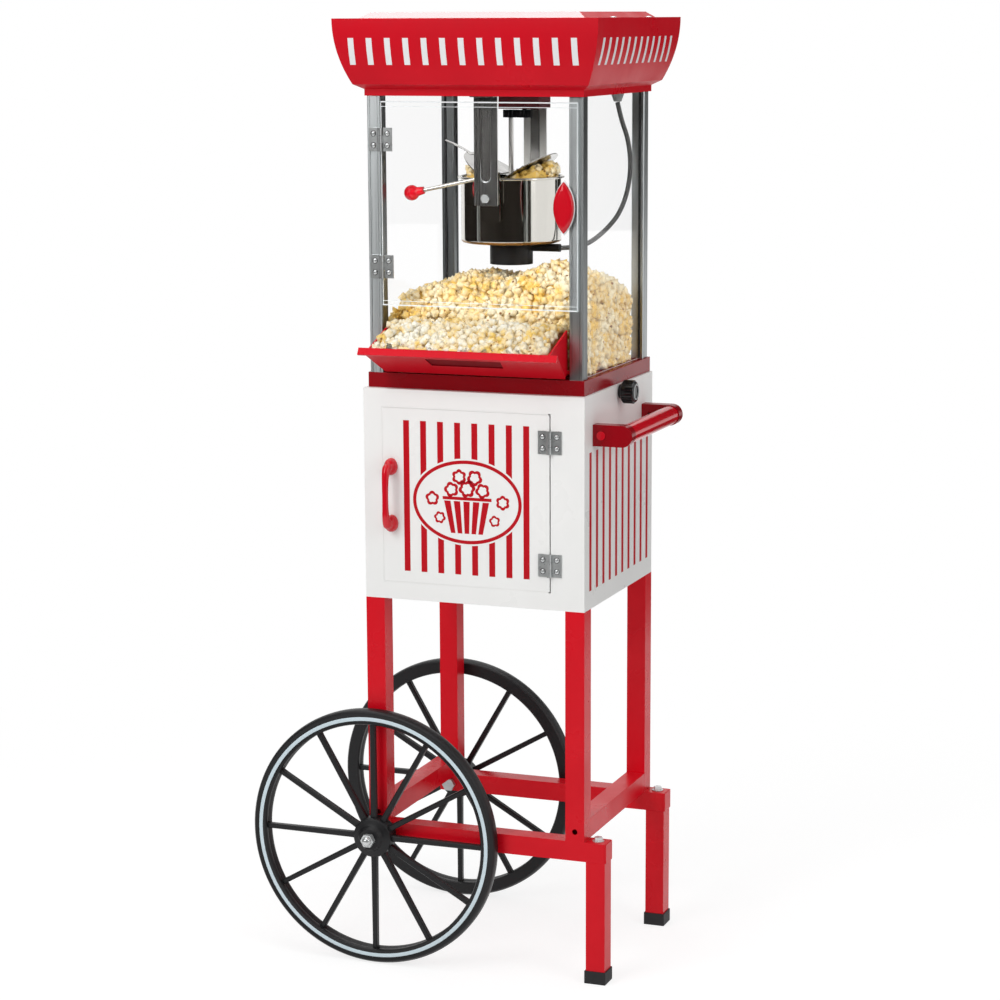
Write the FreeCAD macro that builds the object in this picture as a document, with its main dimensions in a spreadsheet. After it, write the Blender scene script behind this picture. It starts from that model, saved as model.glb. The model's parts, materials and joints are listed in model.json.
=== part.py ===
import FreeCAD, Part
import Sketcher
import math
import os

# A popcorn cart: a glazed popping machine on a cabinet, with tube legs, two spoked wheels and two feet.
# Frame: +Z up, +X to the right, front towards -Y, origin on the floor under the middle of the cart.

# Driving dimensions, in millimetres and degrees
SIZES = {
    # Tube frame
    "tube": 25.4,
    "tube_wall": 1.5,
    "leg_length": 298.0,
    "rail_overhang": 27.5,
    "axle_drop": 3.8,
    "leg_plate": 3.0,
    "end_plate": 8.0,
    "cap_height": 17.0,
    "cap_wall": 1.5,
    "cap_floor": 4.0,
    "plug_flange": 1.6,
    "plug_depth": 7.0,
    "bolt_radius": 3.0,
    "bolt_head_radius": 5.6,
    "bolt_head_height": 4.2,
    "bolt_washer_radius": 7.5,
    "bolt_washer_thickness": 1.4,
    "access_hole_radius": 3.6,
    # Wheels
    "wheel_radius": 170.0,
    "rim_depth": 19.0,
    "rim_width": 20.0,
    "rim_crown": 1.6,
    "rim_gap": 3.6,
    "spoke_count": 12,
    "spoke_width": 6.4,
    "spoke_depth": 9.0,
    "hub_radius": 26.0,
    "hub_nose_radius": 16.0,
    "hub_length": 29.0,
    "axle_radius": 5.0,
    "axle_head_radius": 9.0,
    "axle_head_height": 6.0,
    "axle_washer_radius": 11.0,
    "axle_washer_thickness": 1.6,
    "end_play": 0.4,
    "axle_nut_height": 8.0,
    "axle_nut_radius": 9.0,
    "axle_dome_radius": 6.6,
    # Fits
    "running_fit": 0.05,
    "thread_fit": 0.05,
    "slip_fit": 0.1,
    "free_gap": 0.4,
    # Cabinet
    "cabinet_width": 296.0,
    "cabinet_depth": 272.8,
    "cabinet_height": 270.0,
    "panel": 2.0,
    "door_left": 26.5,
    "door_bottom": 23.0,
    "door_width": 223.5,
    "door_height": 223.0,
    "door_depth": 14.0,
    "door_gap": 1.5,
    "catch_height": 30.0,
    "catch_width": 14.0,
    "catch_depth": 10.0,
    "catch_nose": 10.0,
    # Hinges
    "hinge_inset": 19.5,
    "hinge_height": 29.0,
    "leaf_width": 15.5,
    "leaf_thickness": 1.5,
    "knuckle_radius": 3.0,
    "knuckle_gap": 0.3,
    "pin_radius": 1.5,
    "screw_radius": 1.6,
    "screw_head_radius": 3.1,
    "screw_head_height": 1.4,
    "window_hinge_drop": 32.5,
    "window_hinge_rise": 34.0,
    # Door pull
    "pull_inset": 11.0,
    "pull_length": 95.0,
    "pull_standoff": 19.0,
    "pull_foot_radius": 8.5,
    "pull_elbow_radius": 6.5,
    "pull_bar_radius": 4.4,
    # Push handle
    "handle_span": 212.0,
    "handle_drop": 51.0,
    "handle_reach": 38.0,
    "bracket_height": 27.0,
    "bracket_thickness": 16.0,
    "bar_radius": 12.4,
    "tab_length": 20.0,
    "tab_thickness": 2.0,
    "tab_height": 18.0,
    "handle_screw_out": 11.0,
    # Clamp knob
    "knob_drop": 9.5,
    "knob_radius": 15.0,
    "knob_length": 19.0,
    "knob_collar_radius": 9.0,
    "knob_collar_length": 3.0,
    "knob_shank_radius": 4.0,
    "lug_inset": 6.0,
    "lug_thickness": 12.0,
    "lug_width": 20.0,
    "lug_drop": 19.0,
    # Machine base, posts and windows
    "machine_setback": 9.0,
    "base_margin": 3.5,
    "base_rear_margin": 0.2,
    "base_height": 19.0,
    "base_wall": 2.5,
    "post": 18.0,
    "post_inset": 3.0,
    "chamber_height": 344.6,
    "pane": 3.0,
    "pane_inset": 5.0,
    "groove_depth": 4.0,
    "pane_grip": 3.5,
    "window_sill": 85.0,
    "window_head": 6.6,
    "window_lap": 12.0,
    "grip_width": 28.0,
    "grip_height": 67.0,
    "grip_thickness": 7.0,
    "grip_inset": 17.0,
    # Canopy
    "band_margin_x": 0.5,
    "band_overhang_y": 1.2,
    "band_height": 8.0,
    "ledge_height": 6.0,
    "flare_height": 80.0,
    "flare_radius": 180.0,
    "rim_overhang_x": 28.5,
    "rim_overhang_y": 32.9,
    "canopy_wall": 2.5,
    "plateau_height": 7.0,
    "plateau_inset": 26.0,
    "plateau_slope": 10.0,
    "ceiling_thickness": 2.0,
    "boss_width": 90.0,
    "boss_height": 40.0,
    "boss_rise": 18.0,
    "boss_setback": 0.5,
    "boss_length": 34.0,
    # Power switch and cord gland
    "rocker_width": 12.0,
    "rocker_height": 18.0,
    "rocker_depth": 10.0,
    "rocker_tilt_angle": 8.0,
    "rocker_pin_radius": 1.2,
    "rocker_pin_length": 3.0,
    "rocker_room": 2.2,
    "switch_offset": 22.0,
    "gland_radius": 6.0,
    "gland_flange_radius": 8.5,
    "gland_flange": 3.0,
    "gland_nose": 5.0,
    "gland_bore_radius": 3.5,
    # Kettle
    "pivot_drop": 127.0,
    "rim_rise": 23.0,
    "kettle_radius": 64.0,
    "kettle_height": 83.0,
    "kettle_wall": 1.2,
    "kettle_flange": 4.0,
    "hanger_offset": 89.0,
    "hanger_width": 31.0,
    "hanger_thickness": 2.0,
    "hanger_tail": 9.0,
    "hanger_flange": 14.0,
    "hanger_slot_width": 13.0,
    "hanger_slot_rise": 27.0,
    "hanger_slot_drop": 18.0,
    "trunnion_radius": 9.0,
    "pivot_radius": 3.0,
    "pivot_head_radius": 6.0,
    "pivot_head_height": 4.0,
    "pivot_grip": 12.0,
    "ear_width": 26.0,
    "ear_thickness": 3.0,
    "ear_standoff": 9.0,
    "ear_rise": 32.0,
    "ear_tail": 30.0,
    "cup_radius": 27.5,
    "cup_height": 28.0,
    "cup_wall": 2.0,
    "cup_arm_radius": 5.0,
    "cup_arm_reach": 39.0,
    "cup_arm_drop": 6.5,
    "element_radius": 17.0,
    "element_tube_radius": 4.0,
    # Kettle handle
    "handle_rod_radius": 2.5,
    "handle_rod_tail": 12.0,
    "handle_rod_length": 104.0,
    "handle_rod_rise": 27.0,
    "handle_slope_angle": 12.0,
    "ball_radius": 9.8,
    "ball_neck_radius": 4.6,
    "ball_neck_length": 12.0,
    "ball_grip": 14.0,
    # Kettle lids
    "bridge_width": 18.0,
    "bridge_thickness": 3.0,
    "bridge_ear_thickness": 4.0,
    "bridge_ear_margin": 3.5,
    "lid_hinge_out": 12.5,
    "lid_barrel_radius": 2.0,
    "lid_pin_radius": 1.0,
    "lid_radius": 66.0,
    "lid_thickness": 1.0,
    "lid_open_angle": 32.0,
    # Agitator and drive
    "shaft_radius": 3.0,
    "stir_arm_length": 104.0,
    "stir_arm_width": 6.0,
    "stir_arm_thickness": 3.0,
    "stir_arm_rise": 3.0,
    "gear_teeth": 12,
    "gear_root_radius": 7.0,
    "gear_tip_radius": 10.2,
    "gear_spread": 18.4,
    "tooth_root_width": 3.4,
    "tooth_tip_width": 0.9,
    "gear_face": 9.6,
    "gear_drop": 20.4,
    "motor_cover_height": 18.6,
    "motor_cover_width": 54.0,
    "motor_cover_depth": 44.0,
    "motor_cover_wall": 2.0,
    "motor_box_width": 60.0,
    "motor_box_depth": 48.0,
    "motor_box_height": 22.0,
    "motor_radius": 22.0,
    "motor_length": 26.0,
    "motor_bore_depth": 16.0,
    # Serving tray
    "tray_open_angle": 60.0,
    "tray_pivot_in": 9.0,
    "tray_pivot_up": 9.0,
    "tray_wall": 2.5,
    "tray_front_out": 9.5,
    "tray_front_foot": 6.0,
    "tray_gap": 1.0,
    "tray_foot_inset": 3.0,
    "tray_head_lap": 7.5,
    "tray_lip": 7.0,
    "tray_lip_thickness": 3.0,
    "tray_side_gap": 4.0,
    "tray_cheek": 52.0,
    "tray_barrel_radius": 4.0,
    "tray_pin_radius": 2.5,
    "tray_pin_reach": 4.0,
    "recess_width": 100.0,
    "recess_height": 20.0,
    "recess_drop": 23.0,
    "recess_taper": 2.5,
    "recess_depth": 1.5,
    # Kettle cord
    "cord_diameter": 6.0,
    "cord_gap": 0.9,
    "socket_radius": 9.0,
    "socket_nose_radius": 5.0,
    "socket_length": 12.0,
    "socket_side_room": 20.5,
    "socket_rear_room": 36.8,
}

doc = FreeCAD.newDocument("popcorn_cart")
sheet = doc.addObject("Spreadsheet::Sheet", "Sizes")
for row, (alias, number) in enumerate(SIZES.items(), start=1):
    sheet.set("A%d" % row, alias)
    sheet.set("B%d" % row, str(number))
    sheet.setAlias("B%d" % row, alias)
doc.recompute()


class Size:
    """A size kept both as a spreadsheet expression and as its present value."""

    def __init__(self, text, value):
        self.text = text
        self.value = value

    def __add__(self, other):
        other = as_size(other)
        return Size("(%s + %s)" % (self.text, other.text), self.value + other.value)

    def __sub__(self, other):
        other = as_size(other)
        return Size("(%s - %s)" % (self.text, other.text), self.value - other.value)

    def __mul__(self, other):
        other = as_size(other)
        return Size("(%s * %s)" % (self.text, other.text), self.value * other.value)

    def __truediv__(self, other):
        other = as_size(other)
        return Size("(%s / %s)" % (self.text, other.text), self.value / other.value)

    def __radd__(self, other):
        return as_size(other) + self

    def __rsub__(self, other):
        return as_size(other) - self

    def __rmul__(self, other):
        return as_size(other) * self

    def __neg__(self):
        return Size("(-%s)" % self.text, -self.value)


def as_size(value):
    return value if isinstance(value, Size) else Size(repr(value), value)


def sine(angle):
    return Size("sin(%s * 1 deg)" % angle.text, math.sin(math.radians(angle.value)))


def cosine(angle):
    return Size("cos(%s * 1 deg)" % angle.text, math.cos(math.radians(angle.value)))


def root(value):
    return Size("sqrt(%s)" % value.text, math.sqrt(value.value))


class SizeTable:
    """The spreadsheet's cells as named attributes."""


s = SizeTable()
for alias in SIZES:
    setattr(s, alias, Size("Sizes." + alias, float(sheet.get(alias))))

nodes = []


# Building blocks

def bind(item, path, size):
    item.setExpression(path, as_size(size).text)


def put(item, x, y, z):
    for axis, value in zip("xyz", (x, y, z)):
        bind(item, "Placement.Base." + axis, value)
    return item


def turn(item, axis, angle):
    item.Placement = FreeCAD.Placement(FreeCAD.Vector(), FreeCAD.Rotation(FreeCAD.Vector(*axis), 1.0))
    bind(item, "Placement.Rotation.Angle", angle)
    return item


def box(name, x, y, z):
    """Box from its low and high ends along X, Y and Z."""
    item = doc.addObject("Part::Box", name)
    for length, (low, high) in zip(("Length", "Width", "Height"), (x, y, z)):
        bind(item, length, high - low)
    return put(item, x[0], y[0], z[0])


ALONG = {
    "x": FreeCAD.Rotation(FreeCAD.Vector(0, 1, 0), 90),
    "y": FreeCAD.Rotation(FreeCAD.Vector(1, 0, 0), -90),
    "z": FreeCAD.Rotation(),
}


def lay(item, axis, low, across):
    """Lay a turned piece along one axis from low, centred on across in the other two."""
    item.Placement = FreeCAD.Placement(FreeCAD.Vector(), ALONG[axis])
    base = list(across)
    base.insert("xyz".index(axis), low)
    return put(item, *base)


def rod(name, radius, axis, span, across):
    item = doc.addObject("Part::Cylinder", name)
    bind(item, "Radius", radius)
    bind(item, "Height", span[1] - span[0])
    return lay(item, axis, span[0], across)


def taper(name, radii, axis, span, across):
    item = doc.addObject("Part::Cone", name)
    bind(item, "Radius1", radii[0])
    bind(item, "Radius2", radii[1])
    bind(item, "Height", span[1] - span[0])
    return lay(item, axis, span[0], across)


def hexagon(name, radius, axis, span, across):
    item = doc.addObject("Part::Prism", name)
    item.Polygon = 6
    bind(item, "Circumradius", radius)
    bind(item, "Height", span[1] - span[0])
    return lay(item, axis, span[0], across)


def ball(name, radius, x, y, z):
    item = doc.addObject("Part::Sphere", name)
    bind(item, "Radius", radius)
    return put(item, x, y, z)


def fuse(name, *pieces):
    item = doc.addObject("Part::MultiFuse", name)
    item.Shapes = list(pieces)
    return item


def common(name, *pieces):
    item = doc.addObject("Part::MultiCommon", name)
    item.Shapes = list(pieces)
    return item


def group(name, *pieces):
    """Several like pieces that share one name and stay separate solids."""
    item = doc.addObject("Part::Compound", name)
    item.Links = list(pieces)
    return item


def cut(name, base, *tools):
    item = doc.addObject("Part::Cut", name)
    item.Base = base
    item.Tool = tools[0] if len(tools) == 1 else fuse(name + "_cuts", *tools)
    return item


def node(item, label):
    """Name a finished piece, so that it is written out."""
    item.Label = label
    nodes.append(item)
    return item


def origin(body, role):
    return next(feature for feature in body.Origin.OriginFeatures if feature.Role == role)


def outline(body, plane, corners):
    """Closed outline on one of the body's own planes, every corner tied to its sizes."""
    sketch = body.newObject("Sketcher::SketchObject", body.Name + "_outline")
    sketch.AttachmentSupport = [(origin(body, plane), "")]
    sketch.MapMode = "FlatFace"
    corners = [(as_size(u), as_size(v)) for u, v in corners]
    points = [FreeCAD.Vector(u.value, v.value, 0) for u, v in corners]
    for start, end in zip(points, points[1:] + points[:1]):
        sketch.addGeometry(Part.LineSegment(start, end))
    for index in range(len(points)):
        sketch.addConstraint(Sketcher.Constraint("Coincident", index, 2, (index + 1) % len(points), 1))
    for index, corner in enumerate(corners):
        for kind, size in zip(("DistanceX", "DistanceY"), corner):
            number = sketch.addConstraint(Sketcher.Constraint(kind, -1, 1, index, 1, size.value))
            sketch.setExpression("Constraints[%d]" % number, size.text)
    return sketch


def revolve(body, plane, corners, kind="PartDesign::Revolution"):
    """Turn an outline about the vertical axis of its plane."""
    sketch = outline(body, plane, corners)
    feature = body.newObject(kind, body.Name + "_turned")
    feature.Profile = sketch
    feature.ReferenceAxis = (sketch, ["V_Axis"])
    feature.Angle = 360
    return feature


def pad(body, plane, corners, length, start=None):
    """Extrude an outline along its plane's normal, from a given start."""
    sketch = outline(body, plane, corners)
    if start is not None:
        sketch.setExpression("AttachmentOffset.Base.z", as_size(start).text)
    feature = body.newObject("PartDesign::Pad", body.Name + "_pad")
    feature.Profile = sketch
    bind(feature, "Length", length)
    return feature


def repeat_round(body, feature, axis, count):
    pattern = body.newObject("PartDesign::PolarPattern", body.Name + "_round")
    pattern.Originals = [feature]
    pattern.Axis = (origin(body, axis), [""])
    pattern.Angle = 360
    bind(pattern, "Occurrences", count)
    body.Tip = pattern
    return pattern


def new_body(name):
    return doc.addObject("PartDesign::Body", name)


# Levels and planes that the pieces share
half_w = s.cabinet_width / 2
half_d = s.cabinet_depth / 2
base_width = s.cabinet_width - 2 * s.base_margin
base_depth = s.cabinet_depth - s.machine_setback - s.base_rear_margin
rim_half_x = base_width / 2 + s.rim_overhang_x
rim_half_y = base_depth / 2 + s.rim_overhang_y
rail_mid = s.wheel_radius + s.axle_drop
rail_top = rail_mid + s.tube / 2
rail_bottom = rail_mid - s.tube / 2
cabinet_bottom = rail_top + s.leg_length
cabinet_top = cabinet_bottom + s.cabinet_height
base_top = cabinet_top + s.base_height
ceiling = base_top + s.chamber_height
band_top = ceiling + s.band_height
flare_bottom = band_top + s.ledge_height
rim_top = flare_bottom + s.flare_height

# Reach of the whole cart from the cabinet's centre, which sets the frame's origin
hub_face = s.axle_washer_thickness + s.end_play
nut_foot = hub_face + s.hub_length + s.end_play
nut_tip = nut_foot + s.axle_nut_height + s.axle_dome_radius
machine_front = -half_d + s.machine_setback
tray_length = s.window_sill - s.tray_gap - s.tray_pivot_up
tray_lip_out = s.tray_front_out + s.tray_wall + s.tray_lip
tray_front = (machine_front + s.tray_pivot_in - tray_lip_out * cosine(s.tray_open_angle)
              - tray_length * sine(s.tray_open_angle))
reach_left = s.wheel_radius + half_w - s.tube / 2
reach_right = half_w + s.handle_reach + s.bracket_height / 2
reach_rear = half_d + nut_tip
center_x = (reach_left - reach_right) / 2
center_y = -(reach_rear + tray_front) / 2

left = center_x - half_w
right = center_x + half_w
front = center_y - half_d
rear = center_y + half_d
machine_front = center_y + machine_front
machine_rear = machine_front + base_depth
machine_y = machine_front + base_depth / 2
rail_end = right + s.rail_overhang
legs_x = {"left": (left, left + s.tube), "right": (right - s.tube, right)}
frames_y = {"front": (front, front + s.tube), "rear": (rear - s.tube, rear)}
legs_mid_x = {side: (span[0] + span[1]) / 2 for side, span in legs_x.items()}
frames_mid_y = {side: (span[0] + span[1]) / 2 for side, span in frames_y.items()}
outward = {"front": -1, "rear": 1}
outer_face = {"front": front, "rear": rear}
inner_face = {"front": front + s.tube, "rear": rear - s.tube}
foot_x = (rail_end - s.tube, rail_end)
foot_mid_x = rail_end - s.tube / 2
crossbar_mid_z = rail_top + s.tube / 2


def ordered(a, b):
    return (a, b) if a.value <= b.value else (b, a)


def inset(span, amount):
    return (span[0] + amount, span[1] - amount)


# Welded side frames: a rail along the bottom and two legs, all of square tube

def side_frame(side):
    y = frames_y[side]
    hollow_y = inset(y, s.tube_wall)
    solid = [box(side + "_rail", (left, rail_end), y, (rail_bottom, rail_top))]
    hollow = [box(side + "_rail_hollow", (left, rail_end), hollow_y,
                  (rail_bottom + s.tube_wall, rail_top - s.tube_wall))]
    for leg, x in legs_x.items():
        name = "%s_%s_leg" % (side, leg)
        mid = legs_mid_x[leg]
        solid.append(box(name, x, y, (rail_top, cabinet_bottom)))
        hollow.append(box(name + "_hollow", inset(x, s.tube_wall), hollow_y,
                          (rail_top, cabinet_bottom - s.leg_plate)))
        hollow.append(rod(name + "_top_hole", s.bolt_radius + s.thread_fit, "z",
                          (cabinet_bottom - s.leg_plate, cabinet_bottom), (mid, frames_mid_y[side])))
        hollow.append(rod(name + "_bolt_hole", s.bolt_radius + s.slip_fit, "y",
                          ordered(inner_face[side], inner_face[side] + outward[side] * s.tube_wall),
                          (mid, crossbar_mid_z)))
        hollow.append(rod(name + "_access_hole", s.access_hole_radius, "y",
                          ordered(outer_face[side], outer_face[side] - outward[side] * s.tube_wall),
                          (mid, crossbar_mid_z)))
    hollow.append(rod(side + "_axle_hole", s.axle_radius + s.slip_fit, "y", y,
                      (legs_mid_x["left"], s.wheel_radius)))
    hollow.append(rod(side + "_foot_bolt_hole", s.bolt_radius + s.slip_fit, "z",
                      (rail_bottom, rail_top), (foot_mid_x, frames_mid_y[side])))
    tubes = fuse(side + "_tubes", *solid)
    node(cut(side + "_frame", tubes, *hollow), side + "_side_frame")


for side in frames_y:
    side_frame(side)


# Crossbars between the two side frames, closed at their ends

def crossbar(leg):
    x = legs_x[leg]
    y = (inner_face["front"], inner_face["rear"])
    z = (rail_top, rail_top + s.tube)
    bar = box(leg + "_crossbar", x, y, z)
    hollow = box(leg + "_crossbar_hollow", inset(x, s.tube_wall), inset(y, s.end_plate),
                 inset(z, s.tube_wall))
    holes = rod(leg + "_crossbar_holes", s.bolt_radius + s.thread_fit, "y", y,
                (legs_mid_x[leg], crossbar_mid_z))
    return cut(leg + "_crossbar_tube", bar, hollow, holes)


node(group("crossbar_pair", *[crossbar(leg) for leg in legs_x]), "crossbars")


# Foot legs under the rails' overhanging ends, with rubber caps

def foot_leg(side):
    y = frames_y[side]
    leg = box(side + "_foot", foot_x, y, (s.cap_floor, rail_bottom))
    hollow = box(side + "_foot_hollow", inset(foot_x, s.tube_wall), inset(y, s.tube_wall),
                 (s.cap_floor, rail_bottom - s.end_plate))
    hole = rod(side + "_foot_hole", s.bolt_radius + s.thread_fit, "z",
               (rail_bottom - s.end_plate, rail_bottom), (foot_mid_x, frames_mid_y[side]))
    return cut(side + "_foot_tube", leg, hollow, hole)


def foot_cap(side):
    y = frames_y[side]
    grown = -s.cap_wall - s.slip_fit
    cap = box(side + "_cap", inset(foot_x, grown), inset(y, grown), (as_size(0.0), s.cap_height))
    seat = box(side + "_cap_seat", inset(foot_x, -s.slip_fit), inset(y, -s.slip_fit),
               (s.cap_floor, s.cap_height))
    return cut(side + "_cap_shell", cap, seat)


node(group("foot_leg_pair", *[foot_leg(side) for side in frames_y]), "foot_legs")
node(group("foot_cap_pair", *[foot_cap(side) for side in frames_y]), "foot_caps")


def rail_plug(side, end, direction):
    y = frames_y[side]
    z = (rail_bottom, rail_top)
    name = "%s_%s_plug" % (side, "right" if direction > 0 else "left")
    fit = s.tube_wall + s.slip_fit
    flange = box(name, ordered(end, end + direction * s.plug_flange), y, z)
    spigot = box(name + "_spigot", ordered(end, end - direction * s.plug_depth),
                 inset(y, fit), inset(z, fit))
    return fuse(name + "_whole", flange, spigot)


plugs = [rail_plug(side, end, way) for side in frames_y for end, way in ((left, -1), (rail_end, 1))]
node(group("rail_plug_set", *plugs), "rail_end_plugs")


# Spoked wheels on stub axles

def wheel(side):
    body = new_body(side + "_wheel_body")
    rim_face = (-s.rim_gap, -s.rim_gap - s.rim_width)
    rim_mid = -s.rim_gap - s.rim_width / 2
    rim_inner = s.wheel_radius - s.rim_depth
    hub_end = -hub_face - s.hub_length
    nose_start = rim_face[1] + s.rim_crown
    revolve(body, "XY_Plane", [(0.0, -hub_face), (s.hub_radius, -hub_face), (s.hub_radius, nose_start),
                               (s.hub_nose_radius, hub_end), (0.0, hub_end)])
    chamfer = s.spoke_width / 4
    low = rim_mid - s.spoke_depth / 2
    high = rim_mid + s.spoke_depth / 2
    half = s.spoke_width / 2
    spoke = pad(body, "YZ_Plane", [(low + chamfer, -half), (high - chamfer, -half), (high, -half + chamfer),
                                   (high, half - chamfer), (high - chamfer, half), (low + chamfer, half),
                                   (low, half - chamfer), (low, -half + chamfer)],
                rim_inner + s.rim_depth / 4)
    repeat_round(body, spoke, "Y_Axis", s.spoke_count)
    edge = s.wheel_radius - s.rim_crown
    bed = rim_inner + s.rim_crown
    body.Tip = revolve(body, "XY_Plane", [
        (rim_inner, rim_face[0] - s.rim_crown), (bed, rim_face[0]), (edge, rim_face[0]),
        (s.wheel_radius, rim_face[0] - 2 * s.rim_crown), (s.wheel_radius, rim_face[1] + 2 * s.rim_crown),
        (edge, rim_face[1]), (bed, rim_face[1]), (rim_inner, rim_face[1] + s.rim_crown)])
    bore = s.axle_radius + s.running_fit
    bore_end = hub_end - s.rim_crown
    body.Tip = revolve(body, "XY_Plane", [(0.0, 0.0), (bore, 0.0), (bore, bore_end), (0.0, bore_end)],
                       "PartDesign::Groove")
    half_turn = {"front": 0, "rear": 180}[side]
    body.Placement = FreeCAD.Placement(FreeCAD.Vector(), FreeCAD.Rotation(FreeCAD.Vector(0, 0, 1), half_turn))
    put(body, legs_mid_x["left"], outer_face[side], s.wheel_radius)
    node(body, side + "_wheel")


for side in frames_y:
    wheel(side)


def axle(side):
    way = outward[side]
    at = (legs_mid_x["left"], s.wheel_radius)
    end = outer_face[side] + way * (nut_foot + s.axle_nut_height)
    shank = rod(side + "_axle", s.axle_radius, "y", ordered(inner_face[side], end), at)
    head = hexagon(side + "_axle_head", s.axle_head_radius, "y",
                   ordered(inner_face[side], inner_face[side] - way * s.axle_head_height), at)
    return fuse(side + "_axle_bolt", shank, head)


def axle_nut(side):
    way = outward[side]
    at = (legs_mid_x["left"], s.wheel_radius)
    foot = outer_face[side] + way * nut_foot
    end = foot + way * s.axle_nut_height
    nut = hexagon(side + "_nut", s.axle_nut_radius, "y", ordered(foot, end), at)
    dome = ball(side + "_nut_dome", s.axle_dome_radius, at[0], end, at[1])
    bore = rod(side + "_nut_bore", s.axle_radius + s.thread_fit, "y", ordered(foot, end), at)
    return cut(side + "_acorn_nut", fuse(side + "_nut_solid", nut, dome), bore)


def axle_washer(side):
    span = ordered(outer_face[side], outer_face[side] + outward[side] * s.axle_washer_thickness)
    at = (legs_mid_x["left"], s.wheel_radius)
    disc = rod(side + "_washer", s.axle_washer_radius, "y", span, at)
    bore = rod(side + "_washer_bore", s.axle_radius + s.thread_fit, "y", span, at)
    return cut(side + "_axle_washer", disc, bore)


node(group("axle_pair", *[axle(side) for side in frames_y]), "wheel_axles")
nut_pieces = [make(side) for side in frames_y for make in (axle_nut, axle_washer)]
node(group("axle_nut_set", *nut_pieces), "axle_nuts")


# Hinges: two leaves, three knuckles and a pin each. Each one also gives the holes that its screws need.
knuckle_room = s.knuckle_radius + s.knuckle_gap * 2


def hinge(name, pin_x, face, low, fixed_way):
    """Butt hinge on a front face. fixed_way is the side, along X, of the leaf that stays still."""
    axis_y = face - knuckle_room
    third = s.hinge_height / 3
    levels = [low, low + third, low + third * 2, low + s.hinge_height]
    bore = {True: s.pin_radius + s.thread_fit, False: s.pin_radius + s.running_fit}
    leaves = {}
    screws = {}
    holes = {}
    for fixed in (True, False):
        kind = name + ("_fixed" if fixed else "_moving")
        way = fixed_way if fixed else -fixed_way
        spans = [(levels[0], levels[1] - s.knuckle_gap), (levels[2] + s.knuckle_gap, levels[3])]
        if not fixed:
            spans = [(levels[1], levels[2])]
        plate_x = ordered(pin_x + way * knuckle_room, pin_x + way * s.leaf_width)
        plate_y = (face - s.leaf_thickness, face)
        pieces = [box(kind + "_plate", plate_x, plate_y, (low, low + s.hinge_height))]
        for span in spans:
            pieces.append(rod(kind + "_knuckle", s.knuckle_radius, "z", span, (pin_x, axis_y)))
            root_x = ordered(pin_x + way * s.pin_radius, plate_x[0 if way > 0 else 1])
            pieces.append(box(kind + "_root", root_x, plate_y, span))
        bores = [rod(kind + "_bore", bore[fixed], "z", (low, low + s.hinge_height), (pin_x, axis_y))]
        screws[fixed] = []
        holes[fixed] = []
        screw_x = pin_x + way * (s.leaf_width + s.knuckle_radius) / 2
        for share in (1, 3):
            screw_z = low + s.hinge_height * share / 4
            shank_y = (face - s.leaf_thickness, face + s.panel)
            head = taper(kind + "_screw_head", (s.screw_head_radius * 0.6, s.screw_head_radius), "y",
                         (shank_y[0] - s.screw_head_height, shank_y[0]), (screw_x, screw_z))
            shank = rod(kind + "_screw", s.screw_radius, "y", shank_y, (screw_x, screw_z))
            screws[fixed].append(fuse(kind + "_screw_whole", head, shank))
            for store, end in ((bores, face), (holes[fixed], face + s.panel)):
                store.append(rod(kind + "_screw_hole", s.screw_radius + s.thread_fit, "y",
                                 (face - s.leaf_thickness, end), (screw_x, screw_z)))
        leaves[fixed] = cut(kind + "_leaf", fuse(kind + "_leaf_solid", *pieces), *bores)
    pin = rod(name + "_pin", s.pin_radius, "z", (low, low + s.hinge_height), (pin_x, axis_y))
    return {"leaves": leaves, "screws": screws, "holes": holes, "pin": pin}


# Cabinet door position
door_x = (left + s.door_left, left + s.door_left + s.door_width)
door_z = (cabinet_bottom + s.door_bottom, cabinet_bottom + s.door_bottom + s.door_height)
door_pin_x = door_x[1] + s.door_gap / 2
door_hinges = [hinge("door_hinge_low", door_pin_x, front, door_z[0] + s.hinge_inset, 1),
               hinge("door_hinge_high", door_pin_x, front, door_z[1] - s.hinge_inset - s.hinge_height, 1)]

# Posts and the window door's position
post_out = base_width / 2 - s.post_inset
posts_x = {"left": (center_x - post_out, center_x - post_out + s.post),
           "right": (center_x + post_out - s.post, center_x + post_out)}
posts_front_y = {"left": (machine_front, machine_front + s.post),
                 "right": (machine_front + s.pane + s.free_gap, machine_front + s.pane + s.free_gap + s.post)}
post_rear_y = (machine_rear - s.post_inset - s.post, machine_rear - s.post_inset)
window_z = (base_top + s.window_sill, ceiling - s.window_head)
window_pin_x = posts_x["left"][1] + s.free_gap / 2
window_x = (posts_x["left"][1] + s.free_gap, posts_x["right"][0] + s.window_lap)
window_hinges = [hinge("window_hinge_low", window_pin_x, machine_front,
                       window_z[0] + s.window_hinge_rise, -1),
                 hinge("window_hinge_high", window_pin_x, machine_front,
                       window_z[1] - s.window_hinge_drop - s.hinge_height, -1)]
hinges = door_hinges + window_hinges


def holes_of(some_hinges, fixed):
    return [hole for item in some_hinges for hole in item["holes"][fixed]]


for kind, some_hinges, fixed in (("fixed", hinges, True), ("door", door_hinges, False),
                                 ("window", window_hinges, False)):
    leaves = [item["leaves"][fixed] for item in some_hinges]
    screws = [screw for item in some_hinges for screw in item["screws"][fixed]]
    node(group(kind + "_leaf_set", *leaves), kind + "_hinge_leaves")
    node(group(kind + "_screw_set", *screws), kind + "_hinge_screws")
node(group("hinge_pin_set", *[item["pin"] for item in hinges]), "hinge_pins")

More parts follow.
